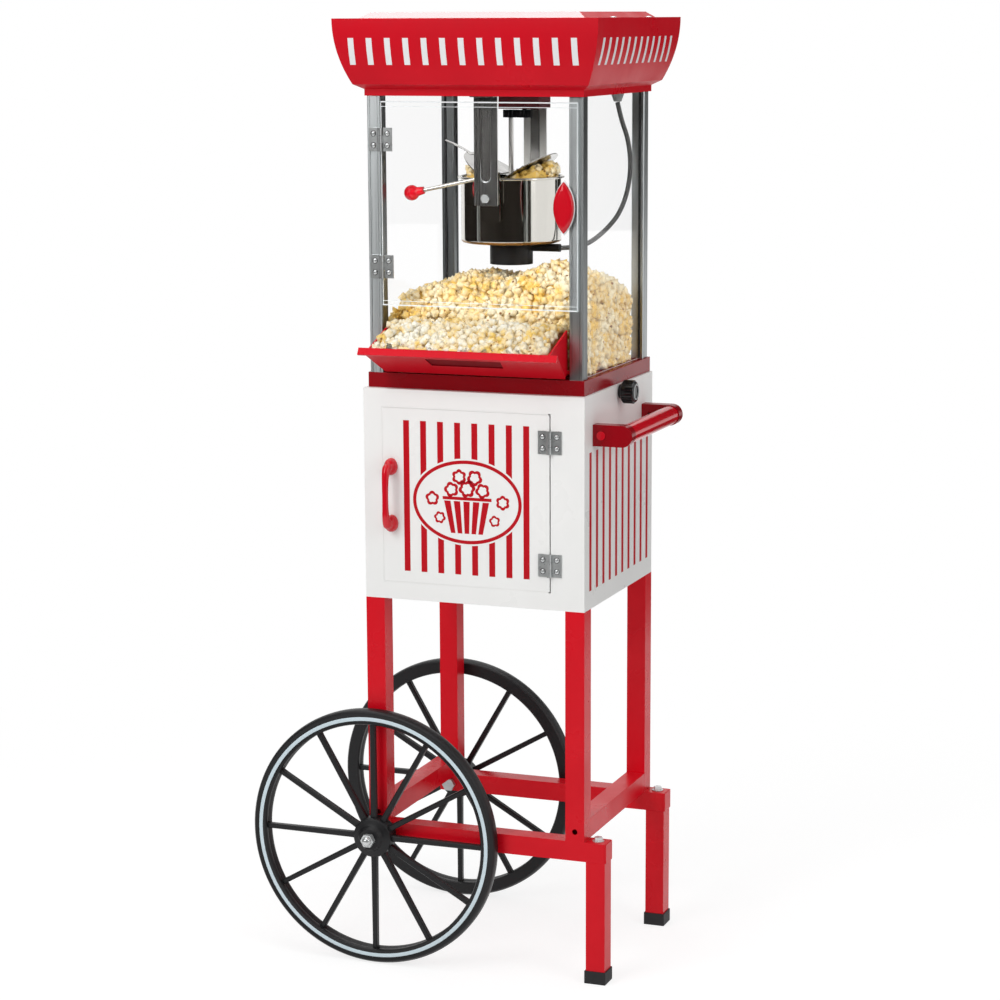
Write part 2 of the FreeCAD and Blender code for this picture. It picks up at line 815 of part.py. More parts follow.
# Cabinet panels
cabinet_z = (cabinet_bottom, cabinet_top)
inside_x = (left + s.panel, right - s.panel)
inside_y = (front + s.panel, rear - s.panel)
opening = box("door_opening", inset(door_x, -s.door_gap), (front, front + s.panel),
              inset(door_z, -s.door_gap))
front_sheet = box("front_sheet", (left, right), (front, front + s.panel), cabinet_z)
node(cut("front_panel", front_sheet, opening, *holes_of(door_hinges, True)), "cabinet_front_panel")
node(box("left_sheet", (left, left + s.panel), inside_y, cabinet_z), "cabinet_left_panel")
node(box("rear_sheet", (left, right), (rear - s.panel, rear), cabinet_z), "cabinet_rear_panel")

# Push handle: two moulded brackets on the cabinet's right side, each over a welded tab, and a round bar
handle_z = cabinet_top - s.handle_drop
handle_x = right + s.handle_reach
bracket_half = s.bracket_height / 2
screw_x = right + s.handle_screw_out
brackets_y = {"front": (center_y - s.handle_span / 2, center_y - s.handle_span / 2 + s.bracket_thickness),
              "rear": (center_y + s.handle_span / 2 - s.bracket_thickness, center_y + s.handle_span / 2)}


def tab_spans(side, room):
    mid = (brackets_y[side][0] + brackets_y[side][1]) / 2
    half = s.tab_thickness / 2 + room
    return ((right, right + s.tab_length + room), (mid - half, mid + half),
            (handle_z - s.tab_height / 2 - room, handle_z + s.tab_height / 2 + room))


def handle_bracket(side):
    y = brackets_y[side]
    arm = box(side + "_arm", (right, handle_x), y, (handle_z - bracket_half, handle_z + bracket_half))
    end = rod(side + "_arm_end", bracket_half, "y", y, (handle_x, handle_z))
    slot = box(side + "_tab_slot", *tab_spans(side, s.slip_fit))
    hole = rod(side + "_arm_screw_hole", s.bolt_radius + s.thread_fit, "y", y, (screw_x, handle_z))
    return cut(side + "_bracket", fuse(side + "_arm_solid", arm, end), slot, hole)


node(group("bracket_pair", *[handle_bracket(side) for side in brackets_y]), "handle_brackets")
bar_y = (brackets_y["front"][1], brackets_y["rear"][0])
node(rod("handle_bar", s.bar_radius, "y", bar_y, (handle_x, handle_z)), "push_bar")

knob_z = cabinet_top - s.knob_drop
right_sheet = box("right_sheet", (right - s.panel, right), inside_y, cabinet_z)
tabs = [box(side + "_tab", *tab_spans(side, as_size(0.0))) for side in brackets_y]
tab_holes = [rod(side + "_tab_hole", s.bolt_radius + s.thread_fit, "y", span, (screw_x, handle_z))
             for side, span in brackets_y.items()]
knob_hole = rod("knob_hole", s.knob_shank_radius + s.running_fit, "x", (right - s.panel, right),
                (center_y, knob_z))
right_solid = fuse("right_sheet_tabs", right_sheet, *tabs)
node(cut("right_panel", right_solid, knob_hole, *tab_holes), "cabinet_right_panel")

floor_z = (cabinet_bottom, cabinet_bottom + s.panel)
floor_sheet = box("floor_sheet", inside_x, inside_y, floor_z)
floor_holes = [rod("floor_hole", s.bolt_radius + s.slip_fit, "z", floor_z, (x, y))
               for x in legs_mid_x.values() for y in frames_mid_y.values()]
node(cut("floor_panel", floor_sheet, *floor_holes), "cabinet_floor")

# The machine's clamp lug hangs through a slot in the cabinet's top, where the knob's screw reaches it
base_right = center_x + base_width / 2
lug_x = (base_right - s.lug_inset - s.lug_thickness, base_right - s.lug_inset)
lug_y = (center_y - s.lug_width / 2, center_y + s.lug_width / 2)
lug_z = (cabinet_top - s.lug_drop, cabinet_top)
top_sheet = box("top_sheet", inside_x, inside_y, (cabinet_top - s.panel, cabinet_top))
lug_slot = box("lug_slot", inset(lug_x, -s.free_gap), inset(lug_y, -s.free_gap),
               (cabinet_top - s.panel, cabinet_top))
node(cut("top_panel", top_sheet, lug_slot), "cabinet_top")

# Cabinet door: a shallow folded pan, with its pull and its catch
door_y = (front, front + s.door_depth)
door_block = box("door_block", door_x, door_y, door_z)
door_hollow = box("door_hollow", inset(door_x, s.panel), (front + s.panel, door_y[1]), inset(door_z, s.panel))
node(cut("door_pan", door_block, door_hollow, *holes_of(door_hinges, False)), "cabinet_door")

pull_x = door_x[0] + s.pull_inset
pull_y = front - s.pull_standoff
pull_mid = (door_z[0] + door_z[1]) / 2
pull_half = s.pull_length / 2 - s.pull_foot_radius
pull_ends = (pull_mid - pull_half, pull_mid + pull_half)
pull_pieces = [rod("pull_grip", s.pull_bar_radius, "z", pull_ends, (pull_x, pull_y))]
for end in pull_ends:
    pull_pieces.append(taper("pull_foot", (s.pull_elbow_radius, s.pull_foot_radius), "y", (pull_y, front),
                             (pull_x, end)))
    pull_pieces.append(ball("pull_elbow", s.pull_elbow_radius, pull_x, pull_y, end))
node(fuse("pull_whole", *pull_pieces), "door_pull")

catch_z = (pull_mid - s.catch_height / 2, pull_mid + s.catch_height / 2)
catch_x = (door_x[0] - s.door_gap - s.catch_width, door_x[0] - s.door_gap)
catch_back = door_y[1] + s.free_gap + s.catch_depth
catch_block = box("catch_block", catch_x, (front + s.panel, catch_back), catch_z)
catch_nose = box("catch_nose_block", (catch_x[1], catch_x[1] + s.catch_nose),
                 (door_y[1] + s.free_gap, catch_back), catch_z)
node(fuse("catch_whole", catch_block, catch_nose), "magnetic_catch")


# Clamp knob with its screw
knob_face = right + s.free_gap
collar_end = knob_face + s.knob_collar_length
at_knob = (center_y, knob_z)
knob_pieces = [rod("knob_screw", s.knob_shank_radius, "x", (lug_x[0], collar_end), at_knob),
               rod("knob_collar", s.knob_collar_radius, "x", (knob_face, collar_end), at_knob),
               rod("knob_grip", s.knob_radius, "x", (collar_end, collar_end + s.knob_length), at_knob)]
node(fuse("knob_whole", *knob_pieces), "clamp_knob")


# Bolts and screws of the cart
def foot_bolt(side):
    at = (foot_mid_x, frames_mid_y[side])
    seat = rail_top + s.bolt_washer_thickness
    return fuse(side + "_foot_bolt",
                rod(side + "_foot_bolt_shank", s.bolt_radius, "z", (rail_bottom - s.end_plate, seat), at),
                rod(side + "_foot_bolt_washer", s.bolt_washer_radius, "z", (rail_top, seat), at),
                hexagon(side + "_foot_bolt_head", s.bolt_head_radius, "z",
                        (seat, seat + s.bolt_head_height), at))


def crossbar_bolt(side, leg):
    name = "%s_%s_crossbar_bolt" % (side, leg)
    at = (legs_mid_x[leg], crossbar_mid_z)
    way = outward[side]
    seat = inner_face[side] + way * s.tube_wall
    return fuse(name,
                rod(name + "_shank", s.bolt_radius, "y",
                    ordered(seat, inner_face[side] - way * s.end_plate), at),
                hexagon(name + "_head", s.bolt_head_radius, "y",
                        ordered(seat, seat + way * s.bolt_head_height), at))


def leg_bolt(side, leg):
    name = "%s_%s_leg_bolt" % (side, leg)
    at = (legs_mid_x[leg], frames_mid_y[side])
    seat = cabinet_bottom + s.panel
    return fuse(name,
                rod(name + "_shank", s.bolt_radius, "z", (cabinet_bottom - s.leg_plate, seat), at),
                hexagon(name + "_head", s.bolt_head_radius, "z", (seat, seat + s.bolt_head_height), at))


def handle_screw(side):
    name = side + "_handle_screw"
    face = brackets_y[side][0 if side == "front" else 1]
    way = outward[side]
    tab_far = tab_spans(side, as_size(0.0))[1][1 if side == "front" else 0]
    return fuse(name,
                rod(name + "_shank", s.bolt_radius, "y", ordered(face, tab_far), (screw_x, handle_z)),
                rod(name + "_head", s.bolt_head_radius, "y",
                    ordered(face, face + way * s.screw_head_height), (screw_x, handle_z)))


bolts = [foot_bolt(side) for side in frames_y]
bolts += [make(side, leg) for make in (crossbar_bolt, leg_bolt) for side in frames_y for leg in legs_x]
bolts += [handle_screw(side) for side in brackets_y]
node(group("bolt_set", *bolts), "cart_bolts")

# Machine base
base_x = (center_x - base_width / 2, base_right)
base_y = (machine_front, machine_rear)
base_block = box("base_block", base_x, base_y, (cabinet_top, base_top))
base_hollow = box("base_hollow", inset(base_x, s.base_wall), inset(base_y, s.base_wall),
                  (cabinet_top, base_top - s.base_wall))
lug = box("clamp_lug", lug_x, lug_y, (lug_z[0], base_top - s.base_wall))
lug_hole = rod("lug_hole", s.knob_shank_radius + s.running_fit, "x", lug_x, (center_y, knob_z))
base_shell = cut("base_shell", base_block, base_hollow)
node(cut("base_whole", fuse("base_with_lug", base_shell, lug), lug_hole), "base_pan")

# Corner posts, grooved for the panes
post_z = (base_top, ceiling)
tray_pivot_y = machine_front + s.tray_pivot_in
tray_pivot_z = base_top + s.tray_pivot_up
groove_room = s.slip_fit
pane_x = {"left": (posts_x["left"][0] + s.pane_inset, posts_x["left"][0] + s.pane_inset + s.pane),
          "right": (posts_x["right"][1] - s.pane_inset - s.pane, posts_x["right"][1] - s.pane_inset)}
pane_rear_y = (post_rear_y[1] - s.pane_inset - s.pane, post_rear_y[1] - s.pane_inset)


def side_groove(name, side, edge, way):
    return box(name, inset(pane_x[side], -groove_room), ordered(edge, edge + way * s.groove_depth), post_z)


def front_post(side):
    y = posts_front_y[side]
    name = side + "_front_post"
    inner = posts_x[side][1 if side == "left" else 0]
    way = -1 if side == "left" else 1
    block = box(name + "_block", posts_x[side], y, post_z)
    pin_hole = rod(name + "_pin_hole", s.tray_pin_radius + s.running_fit, "x",
                   ordered(inner, inner + way * (s.tray_pin_reach + s.free_gap)),
                   (tray_pivot_y, tray_pivot_z))
    cuts = [side_groove(name + "_groove", side, y[1], -1), pin_hole]
    if side == "left":
        cuts += holes_of(window_hinges, True)
    node(cut(name + "_bar", block, *cuts), name)


def rear_post(side):
    name = side + "_rear_post"
    inner = posts_x[side][1 if side == "left" else 0]
    way = -1 if side == "left" else 1
    block = box(name + "_block", posts_x[side], post_rear_y, post_z)
    rear_groove = box(name + "_rear_groove", ordered(inner, inner + way * s.groove_depth),
                      inset(pane_rear_y, -groove_room), post_z)
    return cut(name + "_bar", block, side_groove(name + "_groove", side, post_rear_y[0], 1), rear_groove)


for side in posts_x:
    front_post(side)
node(group("rear_post_pair", *[rear_post(side) for side in posts_x]), "rear_posts")

# Clear panes and the window door with its grip
for side in posts_x:
    pane_y = (posts_front_y[side][1] - s.pane_grip, post_rear_y[0] + s.pane_grip)
    node(box(side + "_pane", pane_x[side], pane_y, post_z), side + "_window")
rear_pane_x = (posts_x["left"][1] - s.pane_grip, posts_x["right"][0] + s.pane_grip)
node(box("rear_pane", rear_pane_x, pane_rear_y, post_z), "rear_window")

window_y = (machine_front, machine_front + s.pane)
window_sheet = box("window_sheet", window_x, window_y, window_z)
node(cut("window_leaf", window_sheet, *holes_of(window_hinges, False)), "window_door")

grip_x = window_x[1] - s.grip_inset
grip_z = (window_z[0] + window_z[1]) / 2
grip_half_w = s.grip_width / 2
grip_half_h = s.grip_height / 2
grip_radius = (grip_half_h * grip_half_h + grip_half_w * grip_half_w) / s.grip_width
grip_y = (machine_front - s.grip_thickness, machine_front)
grip_shift = grip_radius - grip_half_w
grip_sides = [rod("grip_side", grip_radius, "y", grip_y, (grip_x + way * grip_shift, grip_z))
              for way in (-1, 1)]
node(common("grip_lens", *grip_sides), "window_grip")


# Canopy: a flared hood with mitred corners, a stepped band below and a low raised plateau on top

def flare(name, shrink, span):
    """Solid between four barrel-shaped sides, set in by shrink."""
    radius = s.flare_radius - shrink
    off_x = rim_half_x - s.flare_radius
    off_y = rim_half_y - s.flare_radius
    wide_x = (center_x - rim_half_x, center_x + rim_half_x)
    wide_y = (machine_y - rim_half_y, machine_y + rim_half_y)
    sides = [box(name + "_slab", wide_x, wide_y, span)]
    for way in (-1, 1):
        sides.append(rod(name + "_side", radius, "y", wide_y, (center_x + way * off_x, rim_top)))
        sides.append(rod(name + "_side", radius, "x", wide_x, (machine_y + way * off_y, rim_top)))
    return common(name, *sides)


flare_foot_in = s.flare_radius - root(s.flare_radius * s.flare_radius - s.flare_height * s.flare_height)


def frustum(name, low, high, span):
    """Four-sided block that changes from one half size to another between two levels."""
    item = doc.addObject("Part::Wedge", name)
    for key, value in (("Xmin", -low[0]), ("Xmax", low[0]), ("Zmin", -low[1]), ("Zmax", low[1]),
                       ("X2min", -high[0]), ("X2max", high[0]), ("Z2min", -high[1]), ("Z2max", high[1]),
                       ("Ymin", as_size(0.0)), ("Ymax", span[1] - span[0])):
        bind(item, key, value)
    item.Placement = FreeCAD.Placement(FreeCAD.Vector(), FreeCAD.Rotation(FreeCAD.Vector(1, 0, 0), 90))
    return put(item, center_x, machine_y, span[0])


band_half = (base_width / 2 - s.band_margin_x, base_depth / 2 + s.band_overhang_y)
foot_half = (rim_half_x - flare_foot_in, rim_half_y - flare_foot_in)
plateau_half = (rim_half_x - s.plateau_inset, rim_half_y - s.plateau_inset)


def thinner(half, amount):
    return (half[0] - amount, half[1] - amount)


hood_outer = fuse(
    "hood_outer",
    box("hood_band", (center_x - band_half[0], center_x + band_half[0]),
        (machine_y - band_half[1], machine_y + band_half[1]), (ceiling, band_top)),
    frustum("hood_ledge", band_half, foot_half, (band_top, flare_bottom)),
    flare("hood_flare", as_size(0.0), (flare_bottom, rim_top)),
    frustum("hood_plateau", plateau_half, thinner(plateau_half, s.plateau_slope),
            (rim_top, rim_top + s.plateau_height)))
band_in = thinner(band_half, s.canopy_wall)
hood_inner = fuse(
    "hood_inner",
    box("hood_band_room", (center_x - band_in[0], center_x + band_in[0]),
        (machine_y - band_in[1], machine_y + band_in[1]), (ceiling, band_top)),
    frustum("hood_ledge_room", band_in, thinner(foot_half, s.canopy_wall), (band_top, flare_bottom)),
    flare("hood_flare_room", s.canopy_wall, (flare_bottom, rim_top - s.canopy_wall)),
    frustum("hood_plateau_room", thinner(plateau_half, s.canopy_wall),
            thinner(plateau_half, s.canopy_wall + s.plateau_slope),
            (rim_top - s.canopy_wall, rim_top + s.plateau_height - s.canopy_wall)))
hood_shell = cut("hood_shell", hood_outer, hood_inner)

# A flat-faced boss on the canopy's back carries the power switch and the cord gland
boss_y1 = machine_y + rim_half_y - s.boss_setback
boss_y = (boss_y1 - s.boss_length, boss_y1)
boss_z = (flare_bottom + s.boss_rise, flare_bottom + s.boss_rise + s.boss_height)
boss_mid = (boss_z[0] + boss_z[1]) / 2
boss = box("switch_boss", (center_x - s.boss_width / 2, center_x + s.boss_width / 2), boss_y, boss_z)
switch_x = center_x + s.switch_offset
gland_x = center_x - s.switch_offset
rocker_half = s.rocker_width / 2
pocket = box("switch_pocket", (switch_x - rocker_half - s.free_gap, switch_x + rocker_half + s.free_gap),
             (boss_y1 - s.rocker_depth - s.rocker_room, boss_y1),
             (boss_mid - s.rocker_height / 2 - s.rocker_room, boss_mid + s.rocker_height / 2 + s.rocker_room))
rocker_y = boss_y1 - s.rocker_depth / 2 + s.rocker_room
pin_reach = rocker_half + s.rocker_pin_length
rocker_seat = rod("rocker_seat", s.rocker_pin_radius + s.running_fit, "x",
                  (switch_x - pin_reach - s.free_gap, switch_x + pin_reach + s.free_gap),
                  (rocker_y, boss_mid))
gland_hole = rod("gland_hole", s.gland_radius + s.thread_fit, "y", boss_y, (gland_x, boss_mid))
hood_solid = fuse("hood_with_boss", hood_shell, boss)
node(cut("hood_whole", hood_solid, pocket, rocker_seat, gland_hole), "canopy")

rocker_cap = box("rocker_cap", (-rocker_half, rocker_half), (-s.rocker_depth / 2, s.rocker_depth / 2),
                 (-s.rocker_height / 2, s.rocker_height / 2))
zero = as_size(0.0)
rocker_pin = rod("rocker_pin", s.rocker_pin_radius, "x", (-pin_reach, pin_reach), (zero, zero))
rocker = turn(fuse("rocker", rocker_cap, rocker_pin), (1, 0, 0), -s.rocker_tilt_angle)
node(put(rocker, switch_x, rocker_y, boss_mid), "power_switch")

at_gland = (gland_x, boss_mid)
gland_face = boss_y1 + s.gland_flange
gland_end = gland_face + s.gland_nose
gland_pieces = [rod("gland_body", s.gland_radius, "y", boss_y, at_gland),
                rod("gland_collar", s.gland_flange_radius, "y", (boss_y1, gland_face), at_gland),
                taper("gland_tip", (s.gland_radius, s.gland_bore_radius + s.gland_flange / 3), "y",
                      (gland_face, gland_end), at_gland)]
gland_bore = rod("gland_bore", s.gland_bore_radius, "y", (boss_y[0], gland_end), at_gland)
node(cut("gland_whole", fuse("gland_solid", *gland_pieces), gland_bore), "cord_gland")

# Kettle levels
pivot_z = ceiling - s.pivot_drop
kettle_rim = pivot_z + s.rim_rise
kettle_bottom = kettle_rim - s.kettle_height
kettle_floor = kettle_bottom + s.kettle_wall
gear_z = (ceiling - s.gear_drop - s.gear_face, ceiling - s.gear_drop)
pinion_x = center_x + s.gear_spread
at_axis = (center_x, machine_y)
at_pinion = (pinion_x, machine_y)

# Ceiling plate with the hole for the drive shaft
plate_x = (center_x - band_in[0], center_x + band_in[0])
plate_y = (machine_y - band_in[1], machine_y + band_in[1])
plate_z = (ceiling, ceiling + s.ceiling_thickness)
ceiling_sheet = box("ceiling_sheet", plate_x, plate_y, plate_z)
drive_hole = rod("drive_hole", s.shaft_radius + s.free_gap, "z", plate_z, at_pinion)
node(cut("ceiling_whole", ceiling_sheet, drive_hole), "ceiling_plate")

# Agitator motor above the ceiling, its cover below
motor_z = plate_z[1]
motor_top = motor_z + s.motor_box_height
gearbox = box("gearbox", (pinion_x - s.motor_box_width / 2, pinion_x + s.motor_box_width / 2),
              (machine_y - s.motor_box_depth / 2, machine_y + s.motor_box_depth / 2), (motor_z, motor_top))
motor_can = rod("motor_can", s.motor_radius, "z", (motor_top, motor_top + s.motor_length), at_pinion)
motor_bore = rod("motor_bore", s.shaft_radius + s.running_fit, "z",
                 (motor_z, motor_z + s.motor_bore_depth + s.free_gap), at_pinion)
node(cut("motor_whole", fuse("motor_solid", gearbox, motor_can), motor_bore), "agitator_motor")

cover_x = (pinion_x - s.motor_cover_width / 2, pinion_x + s.motor_cover_width / 2)
cover_y = (machine_y - s.motor_cover_depth / 2, machine_y + s.motor_cover_depth / 2)
cover_z = (ceiling - s.motor_cover_height, ceiling)
cover_block = box("cover_block", cover_x, cover_y, cover_z)
cover_room = box("cover_room", inset(cover_x, s.motor_cover_wall), inset(cover_y, s.motor_cover_wall),
                 (cover_z[0] + s.motor_cover_wall, ceiling))
cover_hole = rod("cover_hole", s.shaft_radius + s.free_gap, "z",
                 (cover_z[0], cover_z[0] + s.motor_cover_wall), at_pinion)
node(cut("cover_whole", cover_block, cover_room, cover_hole), "motor_cover")


# Drive gears in mesh: the pinion is turned by half a tooth

def gear_body(name, at, bore, half_pitch):
    body = new_body(name)
    hollow = bore if bore is not None else as_size(0.0)
    revolve(body, "XZ_Plane", [(hollow, 0.0), (s.gear_root_radius, 0.0), (s.gear_root_radius, s.gear_face),
                               (hollow, s.gear_face)])
    seat = s.gear_root_radius - s.tooth_tip_width
    root_half = s.tooth_root_width / 2
    tip_half = s.tooth_tip_width / 2
    tooth = pad(body, "XY_Plane", [(seat, -root_half), (s.gear_tip_radius, -tip_half),
                                   (s.gear_tip_radius, tip_half), (seat, root_half)], s.gear_face)
    repeat_round(body, tooth, "Z_Axis", s.gear_teeth)
    turn(body, (0, 0, 1), as_size(180.0) / s.gear_teeth if half_pitch else as_size(0.0))
    return put(body, at[0], at[1], gear_z[0])


node(gear_body("agitator_gear_body", at_axis, s.shaft_radius, False), "agitator_gear")
pinion_shaft = rod("pinion_shaft", s.shaft_radius, "z", (gear_z[0], motor_z + s.motor_bore_depth),
                   at_pinion)
pinion_gear = gear_body("pinion_body", at_pinion, None, True)
node(fuse("pinion_whole", pinion_gear, pinion_shaft), "motor_pinion")

# Hanger plates and pivot bolts that carry the kettle
hanger_mid_y = {"front": machine_y - s.hanger_offset, "rear": machine_y + s.hanger_offset}
hanger_x = (center_x - s.hanger_width / 2, center_x + s.hanger_width / 2)
half_plate = s.hanger_thickness / 2


def hanger(side):
    mid = hanger_mid_y[side]
    way = outward[side]
    through = (mid - half_plate, mid + half_plate)
    plate = box(side + "_hanger", hanger_x, through, (pivot_z - s.hanger_tail, ceiling))
    flange = box(side + "_hanger_flange", hanger_x,
                 ordered(mid + way * half_plate, mid + way * (half_plate + s.hanger_flange)),
                 (ceiling - s.hanger_thickness, ceiling))
    slot_half = s.hanger_slot_width / 2
    slot_z = (pivot_z + s.hanger_slot_rise, ceiling - s.hanger_slot_drop)
    slot = box(side + "_hanger_slot", (center_x - slot_half, center_x + slot_half), through, slot_z)
    slot_end = rod(side + "_hanger_slot_end", slot_half, "y", through, (center_x, slot_z[0]))
    hole = rod(side + "_hanger_hole", s.pivot_radius + s.thread_fit, "y", through, (center_x, pivot_z))
    return cut(side + "_hanger_plate", fuse(side + "_hanger_solid", plate, flange), slot, slot_end, hole)


trunnion_end = s.hanger_offset - half_plate - s.free_gap


def pivot_bolt(side):
    way = outward[side]
    at = (center_x, pivot_z)
    outer = hanger_mid_y[side] + way * half_plate
    inner = hanger_mid_y[side] - way * s.pivot_grip
    return fuse(side + "_pivot_bolt",
                rod(side + "_pivot_shank", s.pivot_radius, "y", ordered(inner, outer), at),
                hexagon(side + "_pivot_head", s.pivot_head_radius, "y",
                        ordered(outer, outer + way * s.pivot_head_height), at))


node(group("hanger_pair", *[hanger(side) for side in hanger_mid_y]), "kettle_hangers")
node(group("pivot_bolt_pair", *[pivot_bolt(side) for side in hanger_mid_y]), "pivot_bolts")

# Kettle: a turned pot with side trunnions, ears and a bridge for the lids
pot = new_body("kettle_pot")
inner_radius = s.kettle_radius - s.kettle_wall
flange_radius = s.kettle_radius + s.kettle_flange
flange_under = kettle_rim - s.kettle_wall
revolve(pot, "XZ_Plane", [(0.0, kettle_bottom), (s.kettle_radius, kettle_bottom),
                          (s.kettle_radius, flange_under), (flange_radius, flange_under),
                          (flange_radius, kettle_rim), (inner_radius, kettle_rim),
                          (inner_radius, kettle_floor), (0.0, kettle_floor)])
put(pot, center_x, machine_y, zero)

trunnion_start = inner_radius + s.slip_fit
lid_axis_z = kettle_rim + s.lid_barrel_radius + s.free_gap
bridge_top = kettle_rim + s.bridge_thickness
bridge_ear_out = s.kettle_radius
kettle_pieces = [pot]
kettle_cuts = [rod("bridge_bearing", s.shaft_radius + s.running_fit, "z", (kettle_rim, bridge_top), at_axis)]
bridge_half = s.bridge_width / 2
kettle_pieces.append(box("lid_bridge", (center_x - bridge_half, center_x + bridge_half),
                         (machine_y - bridge_ear_out, machine_y + bridge_ear_out), (kettle_rim, bridge_top)))
for side, way in outward.items():
    trunnion = ordered(machine_y + way * trunnion_start, machine_y + way * trunnion_end)
    kettle_pieces.append(rod(side + "_trunnion", s.trunnion_radius, "y", trunnion, (center_x, pivot_z)))
    kettle_cuts.append(rod(side + "_trunnion_bore", s.pivot_radius + s.running_fit, "y",
                           ordered(machine_y + way * (s.hanger_offset - s.pivot_grip - s.free_gap),
                                   machine_y + way * trunnion_end), (center_x, pivot_z)))
    ear_y = ordered(machine_y + way * (s.kettle_radius + s.ear_standoff),
                    machine_y + way * (s.kettle_radius + s.ear_standoff + s.ear_thickness))
    ear_half = s.ear_width / 2
    kettle_pieces.append(box(side + "_ear", (center_x - ear_half, center_x + ear_half), ear_y,
                             (pivot_z - s.ear_tail, pivot_z + s.ear_rise)))
    lug_half = s.lid_hinge_out + s.bridge_ear_margin
    bridge_ear_y = ordered(machine_y + way * (bridge_ear_out - s.bridge_ear_thickness),
                           machine_y + way * bridge_ear_out)
    kettle_pieces.append(box(side + "_bridge_ear", (center_x - lug_half, center_x + lug_half), bridge_ear_y,
                             (kettle_rim, lid_axis_z + s.bridge_ear_margin)))
    for lid_way in (-1, 1):
        kettle_cuts.append(rod(side + "_lid_bearing", s.lid_pin_radius + s.running_fit, "y", bridge_ear_y,
                               (center_x + lid_way * s.lid_hinge_out, lid_axis_z)))
node(cut("kettle_whole", fuse("kettle_solid", *kettle_pieces), *kettle_cuts), "kettle")

# Black cup under the kettle with its cord arm, and the heating ring inside it
cup_z = (kettle_bottom - s.cup_height, kettle_bottom)
arm_z = kettle_bottom - s.cup_arm_drop
arm_end = center_x + s.cup_radius + s.cup_arm_reach
cup = fuse("cup_solid", rod("cup_body", s.cup_radius, "z", cup_z, at_axis),
           rod("cup_arm", s.cup_arm_radius, "x", (center_x, arm_end), (machine_y, arm_z)))
cup_room = rod("cup_room", s.cup_radius - s.cup_wall, "z", (cup_z[0] + s.cup_wall, cup_z[1]), at_axis)
node(cut("cup_whole", cup, cup_room), "kettle_base")

ring = doc.addObject("Part::Torus", "heating_ring")
bind(ring, "Radius1", s.element_radius)
bind(ring, "Radius2", s.element_tube_radius)
node(put(ring, center_x, machine_y, kettle_bottom - s.element_tube_radius - s.slip_fit), "heating_element")

# Tipping handle: a steel rod across the front ear, with a ball on its left end
rod_y = machine_y - (s.kettle_radius + s.ear_standoff + s.ear_thickness + s.handle_rod_radius)
rod_start_x = center_x + s.handle_rod_tail * cosine(s.handle_slope_angle)
rod_start_z = pivot_z + s.handle_rod_rise + s.handle_rod_tail * sine(s.handle_slope_angle)
rod_angle = -90 - s.handle_slope_angle
handle_rod = doc.addObject("Part::Cylinder", "handle_rod")
bind(handle_rod, "Radius", s.handle_rod_radius)
bind(handle_rod, "Height", s.handle_rod_length + s.handle_rod_tail)
turn(handle_rod, (0, 1, 0), rod_angle)
node(put(handle_rod, rod_start_x, rod_y, rod_start_z), "kettle_handle")

ball_start = s.handle_rod_length + s.handle_rod_tail - s.ball_grip
ball_mid = ball_start + s.ball_neck_length + s.ball_radius / 2
ball_bore = rod("ball_bore", s.handle_rod_radius + s.thread_fit, "z",
                (ball_start, ball_start + s.ball_grip + s.thread_fit), (zero, zero))
ball_neck = taper("ball_neck", (s.ball_neck_radius, s.ball_neck_radius + s.ball_radius / 4), "z",
                  (ball_start, ball_mid), (zero, zero))
ball_solid = fuse("ball_solid", ball_neck, ball("ball_end", s.ball_radius, zero, zero, ball_mid))
handle_ball = turn(cut("ball_whole", ball_solid, ball_bore), (0, 1, 0), rod_angle)
node(put(handle_ball, rod_start_x, rod_y, rod_start_z), "handle_ball")


# Lids: two flaps hinged on the bridge, shown raised

def lid(side):
    way = {"left": -1, "right": 1}[side]
    half_y = bridge_ear_out - s.bridge_ear_thickness - s.free_gap
    flap_z = (-s.lid_barrel_radius, s.lid_thickness - s.lid_barrel_radius)
    disc = rod(side + "_lid_disc", s.lid_radius, "z", flap_z, (-way * s.lid_hinge_out, zero))
    half = box(side + "_lid_half", ordered(zero, as_size(way) * s.lid_radius), (-half_y, half_y), flap_z)
    barrel = rod(side + "_lid_barrel", s.lid_barrel_radius, "y", (-half_y, half_y), (zero, zero))
    pin_half = bridge_ear_out - s.free_gap
    pin = rod(side + "_lid_pin", s.lid_pin_radius, "y", (-pin_half, pin_half), (zero, zero))
    flap = fuse(side + "_lid_whole", common(side + "_lid_flap", disc, half), barrel, pin)
    turn(flap, (0, 1, 0), -way * s.lid_open_angle)
    node(put(flap, center_x + way * s.lid_hinge_out, machine_y, lid_axis_z), side + "_lid")


for side in ("left", "right"):
    lid(side)

# Agitator: the upright shaft and its stirring arm
stir_low = kettle_floor + s.stir_arm_rise
stir_half = s.stir_arm_length / 2
stir_arm = box("stir_arm", (center_x - stir_half, center_x + stir_half),
               (machine_y - s.stir_arm_width / 2, machine_y + s.stir_arm_width / 2),
               (stir_low, stir_low + s.stir_arm_thickness))
stir_shaft = rod("stir_shaft", s.shaft_radius, "z", (kettle_floor + s.free_gap, gear_z[1]), at_axis)
node(fuse("agitator_whole", stir_shaft, stir_arm), "agitator")

